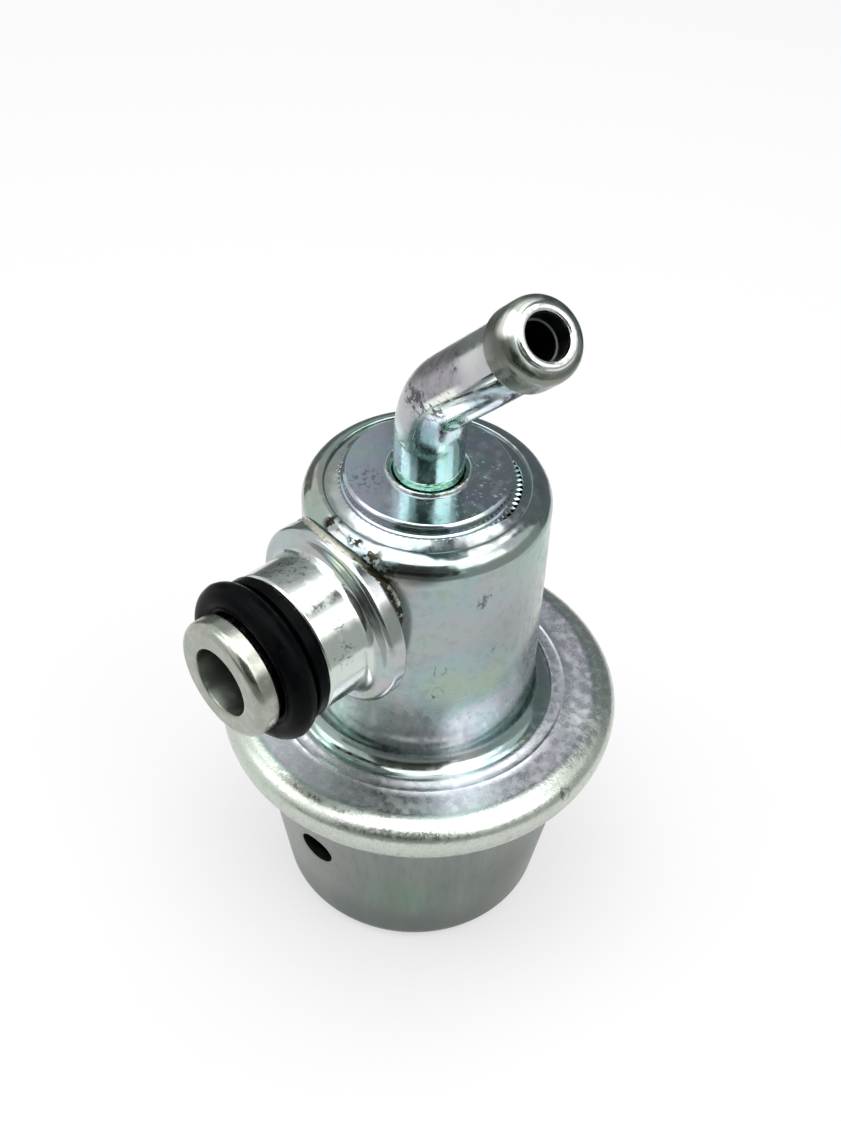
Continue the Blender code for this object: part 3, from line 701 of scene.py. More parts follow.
# Painted highlights: three pale patches on the front and right of the cylinder's foot and the annulus.
shell.patch((10.6, -4.6, 27.2), 3.6, 0.9, 0.65, (0.66, 0.69, 0.70))
shell.patch((10.4, -13.4, 26.1), 4.2, 0.9, 0.55, (0.92, 0.93, 0.93))
shell.patch((14.8, 8.3, 26.1), 3.4, 0.9, 0.6, (0.95, 0.96, 0.95))
shell.roughness += annulus * (0.09 + 0.09 * cloudy)
rim = shell.rise(radial, 17.0, 18.0)
shell.tint(rim * 0.8, (0.60, 0.64, 0.57))
rubbed = shell.flecks(0.28, 4.0, 0.46, 0.66)
shell.tint(rim * rubbed * 0.22, (0.32, 0.34, 0.29))
shell.roughness += rim * (0.10 + 0.07 * rubbed)
shell.raise_by(0.006 * rim * rubbed)
# Painted highlight: a near-white band along the front of the rim's crest.
crest = shell.rise(height, 25.0, 25.5) * shell.rise(radial, 17.6, 18.2)
shell.patch((12.6, -14.1, 25.5), 10.0, 0.9, 0.8, (0.95, 0.97, 0.94), within=crest)
shell.roughness += 0.07 * shell.between(height, 29.0, 33.0, 46.0, 50.0)
scratches = shell.veins(1.7, 0.055, stretch=(1.6, 1.6, 0.8))
scratch_places = [(10.85, -3.0, 46.9, 1.2), (9.1, -6.6, 39.2, 0.9), (9.0, -6.8, 36.2, 1.0)]
scratch_places += [(11.1, -1.4, 40.2, 0.8), (19.2, 0.8, 25.0, 1.0)]
shell.patches(scratch_places, 0.5, 0.8, (0.08, 0.08, 0.07), scratches)
burn = shell.flecks(0.7, 5.0, 0.47, 0.53)
burn_places = [(-1.4, -10.0, 51.9, 1.3), (1.5, -9.8, 51.8, 1.1)]
burn_places += [(3.7, -10.0, 51.3, 1.4), (5.4, -9.7, 50.4, 1.5)]
shell.patches(burn_places, 0.6, 1.0, (0.022, 0.018, 0.012), burn)
shell.patch((7.0, -8.1, 50.6), 3.4, 0.7, 0.7, (0.06, 0.06, 0.05), stretch=(1.0, 1.0, 2.6))
shell.patch((6.2, -9.3, 48.8), 3.0, 1.0, 0.5, (0.27, 0.25, 0.21))
# Painted shade: the right side of the cylinder is tinted darker.
shell.patch((11.2, 0.3, 41.0), 6.5, 0.9, 0.45, (0.22, 0.24, 0.24))
shell.patch((-7.0, -7.5, 50.5), 5.5, 0.8, 0.7, (0.42, 0.41, 0.355))
scuffs = shell.flecks(0.9, 4.0, 0.50, 0.68, stretch=(1.0, 1.0, 0.22))
shell.patch((7.5, 7.0, 44.0), 11.5, 0.8, 0.5, (0.19, 0.18, 0.17), within=scuffs)
tarnish = shell.flecks(1.6, 4.0, 0.50, 0.66)
shell.tint(tarnish * shell.rise(height, 47.0, 49.0) * 0.18, (0.20, 0.20, 0.16))
ticks = shell.flecks(0.7, 3.0, 0.56, 0.66, stretch=(1.0, 1.0, 0.25))
underside = rim * shell.fall(height, 22.4, 24.2)
shell.tint(underside * shell.rise(height, 21.1, 21.6) * 0.45, (0.36, 0.39, 0.34))
shell.tint(ticks * underside * 0.45, (0.20, 0.21, 0.18))
shell.raise_by(0.11 * shell.rise(height, 48.5, 50.5) * (shell.grain(2.4, 1.0) - 0.5))
show("drawn_upper_shell", shell_mesh, shell.close(), stands_for="fuel_chamber_shell")


# Outlet plug.
# Turned steel, pressed into the shell's mouth: a flat disc that stands proud, a band of fine teeth at its
# foot that bite into the shell, and a long stem below, bored for the fuel and counterbored for the seat.

DISC_TOP = 53.4
DISC_RADIUS = 7.62
SOCKET_RADIUS = 3.375
SEAT_POCKET_RADIUS = 2.9
STEM_BORE_RADIUS = 2.1
STEM_RADIUS = 4.0
STEM_BOTTOM = 32.0
TOOTH_COUNT = 80.0

plug_profile = corner(SOCKET_RADIUS, DISC_TOP, (0.0, -0.30), (0.16, -0.04), (0.22, 0.0))
plug_profile += corner(DISC_RADIUS, DISC_TOP, (-0.27, 0.0), (-0.23, -0.02), (-0.03, -0.21), (0.0, -0.27))
plug_profile += corner(DISC_RADIUS, 52.12, (0.0, 0.30), (0.02, 0.22), (0.09, 0.16), (0.19, 0.10), (0.24, 0.0))
plug_profile += corner(DISC_RADIUS, 50.1, (0.24, 0.6), (-0.6, 0.0))
plug_profile += corner(STEM_RADIUS, 45.4, (1.0, 4.7), (1.0, 1.0), (0.0, 0.0))
plug_profile += corner(STEM_RADIUS, STEM_BOTTOM, (0.0, 0.3), (-0.3, 0.0))
plug_profile += corner(SEAT_POCKET_RADIUS, STEM_BOTTOM, (0.0, 0.0), (0.0, 2.4))
plug_profile += [(STEM_BORE_RADIUS, STEM_BOTTOM + 2.4), (STEM_BORE_RADIUS, 48.2), (SOCKET_RADIUS, 48.2)]
plug_mesh = turned("plug", plug_profile, 160, ring=True)

plug = zinc_plate("bright_zinc_plug", (0.43, 0.475, 0.50), 0.13, 7.0)
speckled_area = plug.spot((4.0, 1.0, DISC_TOP), 7.0, 0.9)
speckles = plug.flecks(0.40, 2.0, 0.58, 0.72, centre=(5.0, 2.0, 0.0)) * speckled_area
plug.tint(speckles * 0.30, (0.80, 0.83, 0.86))
plug.roughness += 0.25 * speckles
stains = plug.flecks(0.5, 5.0, 0.50, 0.60)
plug.patch((-2.6, -5.2, DISC_TOP), 2.6, 0.8, 0.6, (0.12, 0.13, 0.15), within=stains)
rings_out = plug.node("ShaderNodeCombineXYZ", {}, {0: plug.from_axis() * 9.0})
facing_marks = plug.node("ShaderNodeTexNoise", {}, {"Vector": rings_out, "Scale": 1.0, "Detail": 2.0})
plug.raise_by(0.0008 * facing_marks)
bright_plug = plug.close()
show("turned_outlet_plug", plug_mesh, bright_plug, stands_for="outlet_plug")


def teeth_tree():
    """A band of press-fit teeth: a scalloped disc drawn up, and then in at the top."""
    sizes = ["teeth", "root_radius", "crest_height", "bottom", "band_height", "chamfer"]
    net = Grower("press_fit_teeth", sizes)
    teeth, root, crest, bottom, band, chamfer = net.sizes
    sockets = {"Vertices": teeth * 6.0, "Radius": root}
    blank = net.node("GeometryNodeMeshCircle", {"fill_type": "NGON"}, sockets)
    place = net.node("GeometryNodeInputIndex") / 6.0
    scallop = place.maths("COSINE", place * (2.0 * math.pi)) * 0.5 + 0.5
    spot = net.node("GeometryNodeInputPosition")
    sockets = {0: spot, "Scale": 1.0 + scallop ** 2.0 * crest / root}
    grown_out = net.node("ShaderNodeVectorMath", {"operation": "SCALE"}, sockets)
    lowered = net.node("ShaderNodeCombineXYZ", {}, {2: bottom})
    sockets = {"Geometry": blank, "Position": grown_out, "Offset": lowered}
    blank = net.node("GeometryNodeSetPosition", {}, sockets)
    sockets = {"Mesh": blank, "Offset Scale": band, "Individual": False}
    lift = net.node("GeometryNodeExtrudeMesh", {}, sockets)
    sockets = {"Mesh": lift, "Selection": lift.output("Top"), "Offset Scale": chamfer, "Individual": False}
    cap = net.node("GeometryNodeExtrudeMesh", {}, sockets)
    sockets = {"Geometry": cap, "Selection": cap.output("Top"), "Scale": 1.0 - chamfer * 1.6 / root}
    net.end(net.node("GeometryNodeScaleElements", {}, sockets))
    return net


teeth_mesh = teeth_tree().grown(
    "teeth",
    crease=25.0,
    teeth=TOOTH_COUNT,
    root_radius=8.06,
    crest_height=0.36,
    bottom=51.0,
    band_height=0.95,
    chamfer=0.16,
    finish=bright_plug,
)
show("press_fit_tooth_band", teeth_mesh, bright_plug)


# Return tube.
# Drawn steel tube, set in the plug and bent over. Its mouth is upset into one bead that holds a hose: a
# sharp back edge, a short barrel, a round nose and a bright rolled lip. The bend has dark die marks.

TUBE_RADIUS = 3.175
TUBE_BORE = 2.10
TUBE_BOTTOM = 48.4
TUBE_AZIMUTH = math.radians(-5.5)
TUBE_BEND = math.radians(42.2)
TUBE_BEND_RADIUS = 9.5
TUBE_STRAIGHT = DISC_TOP + 4.0 - TUBE_BOTTOM
TUBE_RUN = 16.4
TUBE_LENGTH = TUBE_STRAIGHT + TUBE_BEND_RADIUS * TUBE_BEND + TUBE_RUN
BEAD_LENGTH = 4.0
DULL_EDGE = Vector((-0.06, -1.0, -0.03))


def tube_axis(along):
    """Point and direction of the tube's centre line, at a distance from its lower end."""
    angle = max(0.0, min(TUBE_BEND, (along - TUBE_STRAIGHT) / TUBE_BEND_RADIUS))
    beyond = max(0.0, along - TUBE_STRAIGHT - TUBE_BEND_RADIUS * TUBE_BEND)
    out = TUBE_BEND_RADIUS * (1 - math.cos(angle)) + beyond * math.sin(TUBE_BEND)
    up = min(along, TUBE_STRAIGHT) + TUBE_BEND_RADIUS * math.sin(angle) + beyond * math.cos(TUBE_BEND)
    return out, TUBE_BOTTOM + up, angle


def tube_ring(along, radius, steps):
    """A ring of points about the tube's centre line."""
    out, up, angle = tube_axis(along)
    points = []
    for step in range(steps):
        turn = 2.0 * math.pi * step / steps
        reach = radius * math.cos(turn)
        point = polar(TUBE_AZIMUTH, out + reach * math.cos(angle), up - reach * math.sin(angle))
        points.append(point + polar(TUBE_AZIMUTH + math.pi / 2, radius * math.sin(turn), 0.0))
    return points


def along_run(finish):
    """How far past the mouth, from the centre line, and below the dull side of the tube's upper run."""
    out, up, angle = tube_axis(TUBE_LENGTH)
    run = polar(TUBE_AZIMUTH, math.sin(angle), math.cos(angle))
    down = run.cross(DULL_EDGE).normalized()
    spot = finish.stretched(centre=polar(TUBE_AZIMUTH, out, up))
    cross = finish.node("ShaderNodeVectorMath", {"operation": "CROSS_PRODUCT"}, {0: spot, 1: tuple(run)})
    sides = []
    for way in (run, down):
        sockets = {0: spot, 1: tuple(way)}
        sides.append(finish.node("ShaderNodeVectorMath", {"operation": "DOT_PRODUCT"}, sockets, "Value"))
    return sides[0], finish.length(cross), sides[1]


# The bead's skin, as distances back from the mouth and radii.
bead = [(4.02, 3.175), (3.98, 3.19), (3.95, 3.26), (3.92, 3.50), (3.86, 3.58), (3.70, 3.61), (3.55, 3.61)]
bead += [(2.40, 3.61), (1.45, 3.60), (1.20, 3.58), (0.95, 3.52), (0.74, 3.42), (0.56, 3.28), (0.44, 3.12)]
bead += [(0.36, 2.96), (0.31, 2.82), (0.27, 2.72), (0.20, 2.66), (0.11, 2.60), (0.03, 2.50), (0.00, 2.38)]
bead += [(0.00, 2.24), (0.04, 2.10), (0.12, 1.99), (0.26, 1.93), (0.50, 1.92), (1.90, 1.92), (1.96, 1.90)]
bead += [(2.00, 1.74), (2.06, 1.70), (3.90, 1.70), (3.98, 1.74)]
outside = [TUBE_LENGTH * step / 60 for step in range(61)]
inside = [TUBE_LENGTH * step / 40 for step in range(40, -1, -1)]
stations = [(along, TUBE_RADIUS) for along in outside if along < TUBE_LENGTH - BEAD_LENGTH - 0.08]
stations += [(TUBE_LENGTH - back, radius) for back, radius in bead]
stations += [(along, TUBE_BORE) for along in inside if along < TUBE_LENGTH - BEAD_LENGTH]
tube_mesh = skinned("tube", [tube_ring(along, radius, 72) for along, radius in stations], closed=True)

tube = zinc_plate("bright_zinc_tube", (0.43, 0.46, 0.46), 0.13, 8.0)
tube_height = tube.along(2)
before_mouth, off_axis, below_dull = along_run(tube)
beside_dull = tube.along(0, turn=(0.0, 0.0, 0.16))
on_run = tube.rise(tube_height, 60.0, 63.0)
bright_side = tube.rise(beside_dull * (1.0 - on_run) + below_dull * on_run, -0.15, 0.25)
dull = tube.spot((3.6, -3.4, 66.0), 6.5, 0.6) * (1.0 - bright_side)
tube.tint(dull * 0.75, (0.31, 0.29, 0.325))
bruised = tube.flecks(1.2, 4.0, 0.46, 0.62)
tube.tint(dull * bruised * 0.35, (0.17, 0.17, 0.17))
# Painted highlights: a pale patch on the upper run, and a near-white streak on the shiny side just past the
# bend.
tube.patch((7.0, -3.0, 72.4), 3.6, 0.9, 0.8, (0.66, 0.68, 0.66))
tube.patch((4.8, -3.4, 65.4), 4.2, 0.5, 0.8, (0.95, 0.97, 0.90), within=bright_side)
tube.roughness += 0.16 * dull
tube.tint(tube.fall(tube_height, 56.0, 61.0) * 0.75, (0.45, 0.73, 0.65))
# Painted reflections on the upright part: a pale band at its left edge, and dark teal bands down its front
# and right side.
tube.patch((-0.9, -3.1, 57.2), 1.5, 0.7, 0.7, (0.80, 0.95, 0.97), stretch=(1.0, 1.0, 0.45))
tube.patch((1.6, -2.8, 58.4), 1.9, 0.7, 0.85, (0.13, 0.22, 0.21), stretch=(1.0, 1.0, 0.50))
tube.patch((2.3, -2.9, 60.6), 1.9, 0.6, 0.75, (0.16, 0.25, 0.24))
tube.patch((3.2, -0.3, 57.2), 1.4, 0.8, 0.5, (0.25, 0.43, 0.37), stretch=(1.0, 1.0, 0.45))
tube.roughness -= 0.06 * bright_side
barrel = tube.rise(before_mouth, -4.05, -3.95) * tube.rise(off_axis, 2.70, 2.95)
tube.tint(barrel * 0.9, (0.20, 0.225, 0.185))
tube.tint(barrel * tube.flecks(1.4, 3.0, 0.50, 0.60) * 0.6, (0.12, 0.13, 0.11))
tube.patch((11.4, -4.8, 75.6), 2.8, 0.8, 0.7, (0.05, 0.055, 0.045), within=barrel)
# Painted highlight: a pale spot on the barrel.
tube.patch((11.0, -3.8, 77.0), 1.5, 0.6, 0.7, (0.90, 0.92, 0.86), within=barrel)
tube.roughness += 0.14 * barrel
# Painted shade: the bore inside the mouth is tinted near black.
bore = tube.fall(off_axis, 1.90, 2.02) * tube.between(before_mouth, -12.0, -10.0, -0.6, -0.1)
tube.tint(bore * 0.95, (0.04, 0.045, 0.045))
tube.roughness += 0.25 * bore
lip = tube.fall(off_axis, 2.62, 2.75) * tube.rise(before_mouth, -0.6, -0.3)
tube.tint(lip * 0.8, (0.78, 0.80, 0.76))
tube.raise_by(0.05 * lip * (tube.grain(0.8, 2.0) - 0.5))
galled = tube.flecks(0.70, 5.0, 0.50, 0.56)
galled_places = [(0.4, -3.1, 63.2, 1.5), (2.2, -3.4, 63.6, 1.6), (3.8, -3.3, 64.0, 1.2)]
galled_places.append((5.3, -3.8, 70.0, 1.3))
tube.patches(galled_places, 0.4, 0.9, (0.05, 0.05, 0.06), galled)
tube.patch((3.5, -3.2, 67.0), 4.5, 0.7, 0.6, (0.10, 0.09, 0.11), within=tube.flecks(0.40, 3.0, 0.60, 0.66))
tube.raise_by(-0.03 * galled * tube.spot((2.2, -3.3, 63.6), 3.2, 0.6))
show("bent_return_tube", tube_mesh, tube.close(), stands_for="return_tube")


# Braze ring at the tube's foot.
# Filler metal run round the tube where it enters the plug, plated over with the rest. It stands as a low,
# uneven ring with a dark gap between it and the tube.

FILLER_FOOT = 53.36


def uneven_filler(point):
    spot = Vector((point.x, point.y, 0.0)) * 0.9
    swell = 1.0 + 0.010 * noise.noise(spot) + 0.006 * noise.noise(spot * 3.1)
    lift = 0.05 * noise.noise(spot * 1.7 + Vector((0.0, 0.0, 3.0)))
    rise = lift if point.z > FILLER_FOOT + 0.09 else 0.0
    return Vector((point.x * swell, point.y * swell, point.z + rise))


filler_profile = [(3.30, FILLER_FOOT), (3.34, 53.40), (3.46, 53.46), (3.56, 53.56), (3.66, 53.66)]
filler_profile += [(3.76, 53.70), (3.86, 53.68), (3.93, 53.60), (3.96, 53.50), (3.97, FILLER_FOOT)]
filler_mesh = turned("tube_filler", filler_profile, 144, ring=True, reshape=uneven_filler)
braze = zinc_plate("plated_filler", (0.56, 0.60, 0.56), 0.14, 3.0)
flux = braze.flecks(0.4, 4.0, 0.50, 0.64)
braze.tint(flux * 0.25, (0.30, 0.28, 0.22))
braze.roughness += 0.12 * flux
plated_filler = braze.close()
show("tube_filler_ring", filler_mesh, plated_filler, stands_for="tube_braze_ring")


# Inlet fitting.
# Turned steel, brazed to the side of the shell: a collar saddled to the cylinder, a filleted neck, a seal
# groove and a rounded tip with a stepped bore. Its shank goes through the shell's wall.

COLLAR_FACE = 12.1
COLLAR_BACK = 10.1
COLLAR_RADIUS = 8.76
COLLAR_EDGE = 0.38
COLLAR_ROUND = 0.62
NECK_RADIUS = 6.81
NECK_END = 17.3
NECK_FILLET = 1.0
GROOVE_RADIUS = 4.73
GROOVE_END = 21.65
TIP_RADIUS = 5.64
TIP_END = 24.0
TIP_NOSE = 0.9
TIP_BORE = 3.24
SADDLE_RADIUS = CYLINDER_RADIUS + 0.04
SHANK_RADIUS = 5.5
SHANK_END = 7.6
SHANK_BORE = 2.4


def saddled(point):
    """Pushes the collar's back out to the cylinder that it sits on. Here +Z is the fitting's own axis."""
    radius = math.hypot(point.x, point.y)
    if radius < SHANK_RADIUS + 0.05 or point.z > COLLAR_FACE:
        return point
    across = min(abs(point.x), SADDLE_RADIUS)
    return Vector((point.x, point.y, max(point.z, math.sqrt(SADDLE_RADIUS ** 2 - across ** 2))))


fitting_profile = corner(TIP_BORE, TIP_END, (0.0, -0.22), (0.06, -0.08), (0.18, -0.01), (0.31, 0.0))
fitting_profile += round_points(TIP_RADIUS - TIP_NOSE, TIP_END - TIP_NOSE, TIP_NOSE, 90, 0, 12)
fitting_profile += corner(TIP_RADIUS, 22.0, (0.0, 0.0), (-0.10, -0.18), (-0.30, -0.30))
fitting_profile += corner(GROOVE_RADIUS, GROOVE_END, (0.1, 0.0), (0.0, -0.1))
fitting_profile += corner(GROOVE_RADIUS, NECK_END, (0.0, 0.1), (0.1, 0.0))
fitting_profile += corner(NECK_RADIUS, NECK_END, (-0.30, 0.0), (-0.24, -0.02), (-0.03, -0.24), (0.0, -0.32))
rounds = [
    (NECK_RADIUS + NECK_FILLET, COLLAR_FACE + NECK_FILLET, NECK_FILLET, 180, 270, 10),
    (COLLAR_RADIUS - COLLAR_ROUND, COLLAR_FACE - COLLAR_ROUND, COLLAR_ROUND, 90, 0, 10),
    (COLLAR_RADIUS - COLLAR_EDGE, COLLAR_BACK + COLLAR_EDGE, COLLAR_EDGE, 0, -90, 8),
]
for measures in rounds:
    fitting_profile += round_points(*measures)
fitting_profile += [(radius, COLLAR_BACK) for radius in (7.4, 6.4, SHANK_RADIUS + 0.06, SHANK_RADIUS)]
fitting_profile += [(SHANK_RADIUS, SHANK_END), (SHANK_BORE, SHANK_END), (SHANK_BORE, 17.0), (TIP_BORE, 17.5)]
fitting_mesh = turned("inlet", fitting_profile, 160, ring=True, place=inlet_place, reshape=saddled)

inlet = zinc_plate("bright_zinc_inlet", (0.42, 0.46, 0.435), 0.14, 6.0)
reach = 0.0 - inlet.along(1)
# Painted reflection: the neck between the collar and the groove is tinted lighter all round.
inlet.tint(inlet.between(reach, 12.3, 12.7, 17.4, 17.6) * 0.8, (0.66, 0.71, 0.67))
tip = inlet.rise(reach, 21.0, 21.6)
inlet.tint(tip * 0.75, (0.31, 0.32, 0.265))
inlet.tint(tip * inlet.flecks(1.0, 4.0, 0.48, 0.62) * 0.3, (0.50, 0.50, 0.44))
inlet.roughness += 0.06 * tip
off_axis = inlet.from_axis((0.0, 0.0, INLET_HEIGHT), (1.0, 0.0, 1.0))
# Painted shade: the bore is tinted dark.
in_bore = inlet.fall(off_axis, 3.1, 3.4)
inlet.tint(in_bore * 0.90, (0.05, 0.07, 0.065))
inlet.roughness += 0.20 * in_bore
pitting = inlet.flecks(0.35, 3.0, 0.56, 0.62)
pit_places = [(2.8, -15.6, 48.9, 1.2), (2.8, -13.0, 49.0, 1.0)]
pit_places += [(4.8, -14.8, 47.5, 1.0), (6.2, -15.4, 45.2, 1.6)]
inlet.patches(pit_places, 0.5, 0.7, (0.16, 0.18, 0.19), pitting)
# The top of the neck is rougher and pitted, and carries a painted dark reflection.
dull_and_painted_dark_top = inlet.spot((-1.8, -14.8, 49.3), 3.0, 0.5)
inlet.tint(dull_and_painted_dark_top * (0.55 + 0.4 * pitting), (0.14, 0.16, 0.15))
inlet.roughness += 0.12 * dull_and_painted_dark_top
show("turned_inlet_fitting", fitting_mesh, inlet.close(), stands_for="inlet_fitting")


# Braze at the inlet.
# Filler metal and burnt flux left in the corner between the collar and the cylinder, brown and olive, and
# the filler ring round the shank inside the shell, which is the CAD's own solid.

def on_cylinder(across):
    """How far out the cylinder's wall stands, at a distance across from the fitting's axis."""
    return math.sqrt(CYLINDER_RADIUS ** 2 - across ** 2)


def seam_ring(turn, rows):
    """Uneven filler from the collar's back edge to the cylinder, drawn in where their gap is deep."""
    gap = max(0.0, COLLAR_BACK - on_cylinder(COLLAR_RADIUS * math.cos(turn)))
    swell = noise.noise(Vector((turn * 5.0, 0.0, 0.0))) + 0.5 * noise.noise(Vector((turn * 17.0, 3.0, 0.0)))
    foot = 9.15 + 0.14 * swell - 0.80 * gap
    head = min(COLLAR_RADIUS - 0.02, foot)
    top = max(COLLAR_BACK + 0.2, on_cylinder(head * math.cos(turn)) + 0.42 + 0.08 * swell)
    low = on_cylinder(foot * math.cos(turn)) - 0.05
    section = []
    for row in range(rows + 1):
        part = row / rows
        out = head + (foot - head) * part ** 1.6
        section.append((out, top + (low - top) * (1 - (1 - part) ** 1.6)))
    section += [(head - 0.7, low), (head - 0.7, top)]
    points = []
    for row, (out, depth) in enumerate(section):
        out += 0.07 * noise.noise(Vector((turn * 14.0, row * 0.35, 5.0)))
        points.append(Vector((out * math.cos(turn), -depth, INLET_HEIGHT + out * math.sin(turn))))
    return points


SEAM_STEPS = 320
seam_rings = [seam_ring(2.0 * math.pi * step / SEAM_STEPS, 10) for step in range(SEAM_STEPS)]
seam_mesh = skinned("inlet_fillet", seam_rings, closed=True, crease=60.0)
burnt = Finish("burnt_filler", (0.44, 0.45, 0.39), 0.22)
soot = burnt.flecks(0.9, 4.0, 0.36, 0.46)
burnt.tint(burnt.flecks(1.3, 3.0, 0.50, 0.62) * 0.5, (0.24, 0.21, 0.13))
burnt.patch((5.6, -9.6, 48.0), 5.2, 0.4, 0.98, (0.022, 0.019, 0.012), within=soot)
burnt.roughness = 0.20 + 0.30 * soot
burnt.raise_by(0.03 * burnt.grain(0.5, 3.0))
show("inlet_filler_seam", seam_mesh, burnt.close())
dress(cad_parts["inlet_braze_ring"].data, plated_filler)


# O-ring and backup ring.
# Black rubber, moulded. The O-ring has a thin parting line round its outside, and the backup ring fills
# the rest of the groove behind it. Both are held only by their stretch.

O_RING_SECTION = 1.35
O_RING_CENTRE = 20.1
O_RING_RADIUS = 6.28
O_RING_STEPS = 48

ring_profile = []
for step in range(O_RING_STEPS):
    angle = 2.0 * math.pi * step / O_RING_STEPS
    flash = 0.035 * math.exp(-(math.remainder(angle, 2.0 * math.pi) / 0.06) ** 2)
    out = O_RING_SECTION + flash
    ring_profile.append((O_RING_RADIUS + out * math.cos(angle), O_RING_CENTRE + out * math.sin(angle)))
o_ring_mesh = turned("o_ring", ring_profile, 160, ring=True, place=inlet_place, crease=60.0)

rubber = Finish("black_rubber", (0.0012, 0.0018, 0.0022), 0.38, 0.0)
bloom = rubber.flecks(2.4, 3.0, 0.45, 0.68)
rubber.tint(bloom * 0.4, (0.005, 0.006, 0.006))
dust = rubber.flecks(0.16, 1.0, 0.72, 0.78)
rubber.tint(dust * 0.3, (0.05, 0.05, 0.05))
rubber.roughness = 0.26 + 0.14 * bloom + 0.2 * dust
rubber.raise_by(0.006 * rubber.grain(0.9, 3.0))
black_rubber = rubber.close(shine=0.03)
show("moulded_o_ring", o_ring_mesh, black_rubber, stands_for="inlet_o_ring")

backup_profile = [(4.93, 17.45), (6.83, 17.45), (6.92, 17.52), (6.95, 17.62)]
backup_profile += [(6.95, 18.38), (6.92, 18.48), (6.83, 18.55), (4.93, 18.55)]
backup_mesh = turned("backup", backup_profile, 128, ring=True, place=inlet_place)
show("moulded_backup_ring", backup_mesh, black_rubber, stands_for="inlet_backup_ring")


# Studio.
# A white floor, soft lamps, and plain cards bent round the object for the bright metal to mirror: dark in
# front, grey low in front, pale at the right and behind. Lamps and cards are out of the camera's sight.

VIEW_TURN = math.radians(45.36)
OBJECT_MIDDLE = Vector((0.0, 0.0, 0.035))
CARD_STEPS = 24


def around(turn, elevation, distance):
    """A point in metres, seen from the object. Turn 0 is the camera's side, and 90 is to its right."""
    azimuth = VIEW_TURN - math.pi / 2 + math.radians(turn)
    rise = math.radians(elevation)
    return OBJECT_MIDDLE + polar(azimuth, math.cos(rise), math.sin(rise)) * distance


def glowing_card(name, turns, elevations, distance, colour):
    """A card bent round the object between two turns and two elevations."""
    shares = [step / CARD_STEPS for step in range(CARD_STEPS + 1)]
    places = [turns[0] + (turns[1] - turns[0]) * share for share in shares]
    points = [around(turn, elevation, distance) for elevation in elevations for turn in places]
    faces = [(i, i + 1, i + CARD_STEPS + 2, i + CARD_STEPS + 1) for i in range(CARD_STEPS)]
    mesh = bpy.data.meshes.new(name)
    mesh.from_pydata(points, [], faces)
    made = bare_material(name)
    net = Net(made.node_tree)
    shader = net.node("ShaderNodeEmission", {}, {"Color": (*colour, 1.0), "Strength": 1.0})
    net.node("ShaderNodeOutputMaterial", {}, {"Surface": shader})
    mesh.materials.append(made)
    card = placed(name, mesh)
    card.visible_camera = False
    card.visible_diffuse = False
    card.visible_shadow = False


glowing_card("right_back_card", (108, 184), (-12, 57), 0.14, (0.20, 0.225, 0.24))
glowing_card("left_back_card", (-180, -128), (-14, 22), 0.14, (0.20, 0.22, 0.21))
glowing_card("high_back_card", (-180, -146), (22, 58), 0.15, (0.56, 0.60, 0.62))
glowing_card("front_low_card", (-62, 34), (-14, 8), 0.13, (0.34, 0.37, 0.34))
glowing_card("front_dark_card", (-38, 28), (8, 27), 0.13, (0.06, 0.066, 0.06))
glowing_card("front_high_card", (-36, 24), (27, 57), 0.14, (0.11, 0.12, 0.10))
glowing_card("right_card", (34, 108), (-14, 27), 0.14, (0.50, 0.52, 0.50))


def direct_look(net):
    """1 where the camera, polished metal or clear material looks, and 0 for light that falls on things."""
    path = net.node("ShaderNodeLightPath")
    seen = path.output("Is Camera Ray") + path.output("Is Glossy Ray") + path.output("Is Transmission Ray")
    return seen.maths("MINIMUM", seen, 1.0)


WHITE = (1.0, 1.0, 1.0, 1.0)
FLOOR_HALF = 2.0
FLOOR_DROP = -0.1 * MM

floor_mesh = bpy.data.meshes.new("floor")
corners = [(x * FLOOR_HALF, y * FLOOR_HALF, FLOOR_DROP) for x, y in ((-1, -1), (1, -1), (1, 1), (-1, 1))]
floor_mesh.from_pydata(corners, [], [(0, 1, 2, 3)])
floor_paint = bare_material("pale_floor")
net = Net(floor_paint.node_tree)
paint = net.node("ShaderNodeBsdfDiffuse", {}, {"Color": (0.92, 0.92, 0.92, 1.0)})
white = net.node("ShaderNodeEmission", {}, {"Color": WHITE, "Strength": 1.0})
away = net.length(net.node("ShaderNodeNewGeometry"))
far = net.node("ShaderNodeMapRange", {}, {"Value": away, "From Min": 0.25, "From Max": 0.70})
shader = net.node("ShaderNodeMixShader", {}, {0: direct_look(net) * (0.6 + 0.4 * far), 1: paint, 2: white})
net.node("ShaderNodeOutputMaterial", {}, {"Surface": shader})
floor_mesh.materials.append(floor_paint)
placed("floor", floor_mesh)


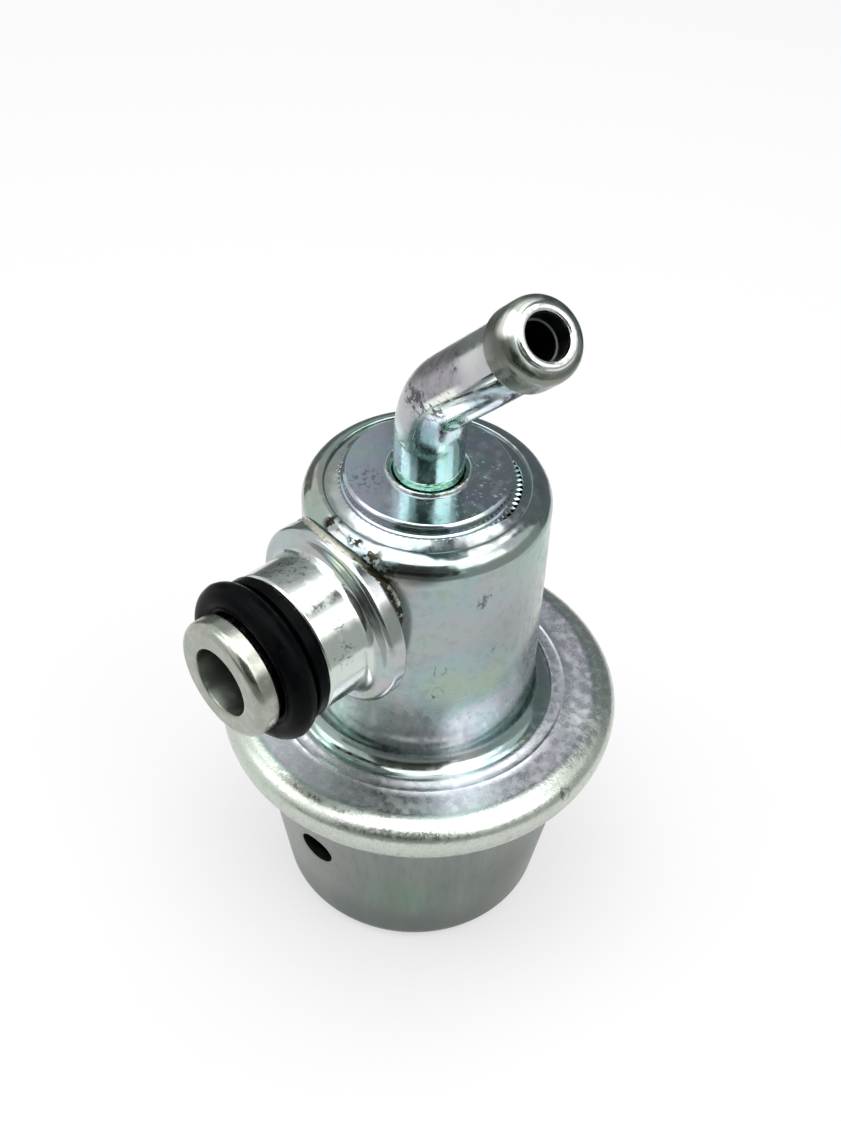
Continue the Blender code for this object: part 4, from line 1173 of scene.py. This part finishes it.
def soft_lamp(name, at, size, power):
    lamp = bpy.data.lights.new(name, "AREA")
    lamp.shape = "RECTANGLE"
    lamp.size = size[0]
    lamp.size_y = size[1]
    lamp.energy = power
    obj = placed(name, lamp)
    obj.location = at
    obj.rotation_euler = (OBJECT_MIDDLE - at).to_track_quat("-Z", "Y").to_euler()


soft_lamp("overhead_lamp", around(0, 88, 0.42), (0.50, 0.50), 1.9)
soft_lamp("left_lamp", around(-80, 42, 0.45), (0.22, 0.22), 0.30)
soft_lamp("right_lamp", around(54, 44, 0.45), (0.34, 0.20), 0.44)

world = bpy.data.worlds.new("studio")
bpy.context.scene.world = world
world.use_nodes = True
world.node_tree.nodes.clear()
net = Net(world.node_tree)
soft = net.node("ShaderNodeBackground", {}, {"Color": WHITE, "Strength": 0.30})
white = net.node("ShaderNodeBackground", {}, {"Color": WHITE, "Strength": 1.0})
sky = net.node("ShaderNodeMixShader", {}, {0: direct_look(net), 1: soft, 2: white})
net.node("ShaderNodeOutputWorld", {}, {"Surface": sky})


# Camera.
# Where the photograph was taken from: about 44 degrees up, between the inlet's side and the tube's side,
# and rolled a little. The place, turn and lens come from fitting the object's own outlines.

VIEW_ELEVATION = 0.765579
VIEW_ROLL = 0.0433705
VIEW_DISTANCE = 157.73478
VIEW_TARGET = Vector((-0.358763, 0.0, -11.34801))
LENS = 54.594
SENSOR_WIDTH = 36.0

turn = Matrix.Rotation(VIEW_TURN, 4, "Z")
tilt = Matrix.Rotation(math.pi / 2 - VIEW_ELEVATION, 4, "X")
roll = Matrix.Rotation(VIEW_ROLL, 4, "Z")
stand = Vector((0.0, 0.0, DISC_TOP)) + turn @ (VIEW_TARGET + tilt @ Vector((0.0, 0.0, VIEW_DISTANCE)))
camera_data = bpy.data.cameras.new("camera")
camera_data.lens = LENS
camera_data.sensor_width = SENSOR_WIDTH
camera_data.clip_start = MM
camera = placed("camera", camera_data)
camera.matrix_world = Matrix.Translation(stand * MM) @ turn @ tilt @ roll
bpy.context.scene.camera = camera
bpy.context.scene.view_settings.view_transform = "Standard"
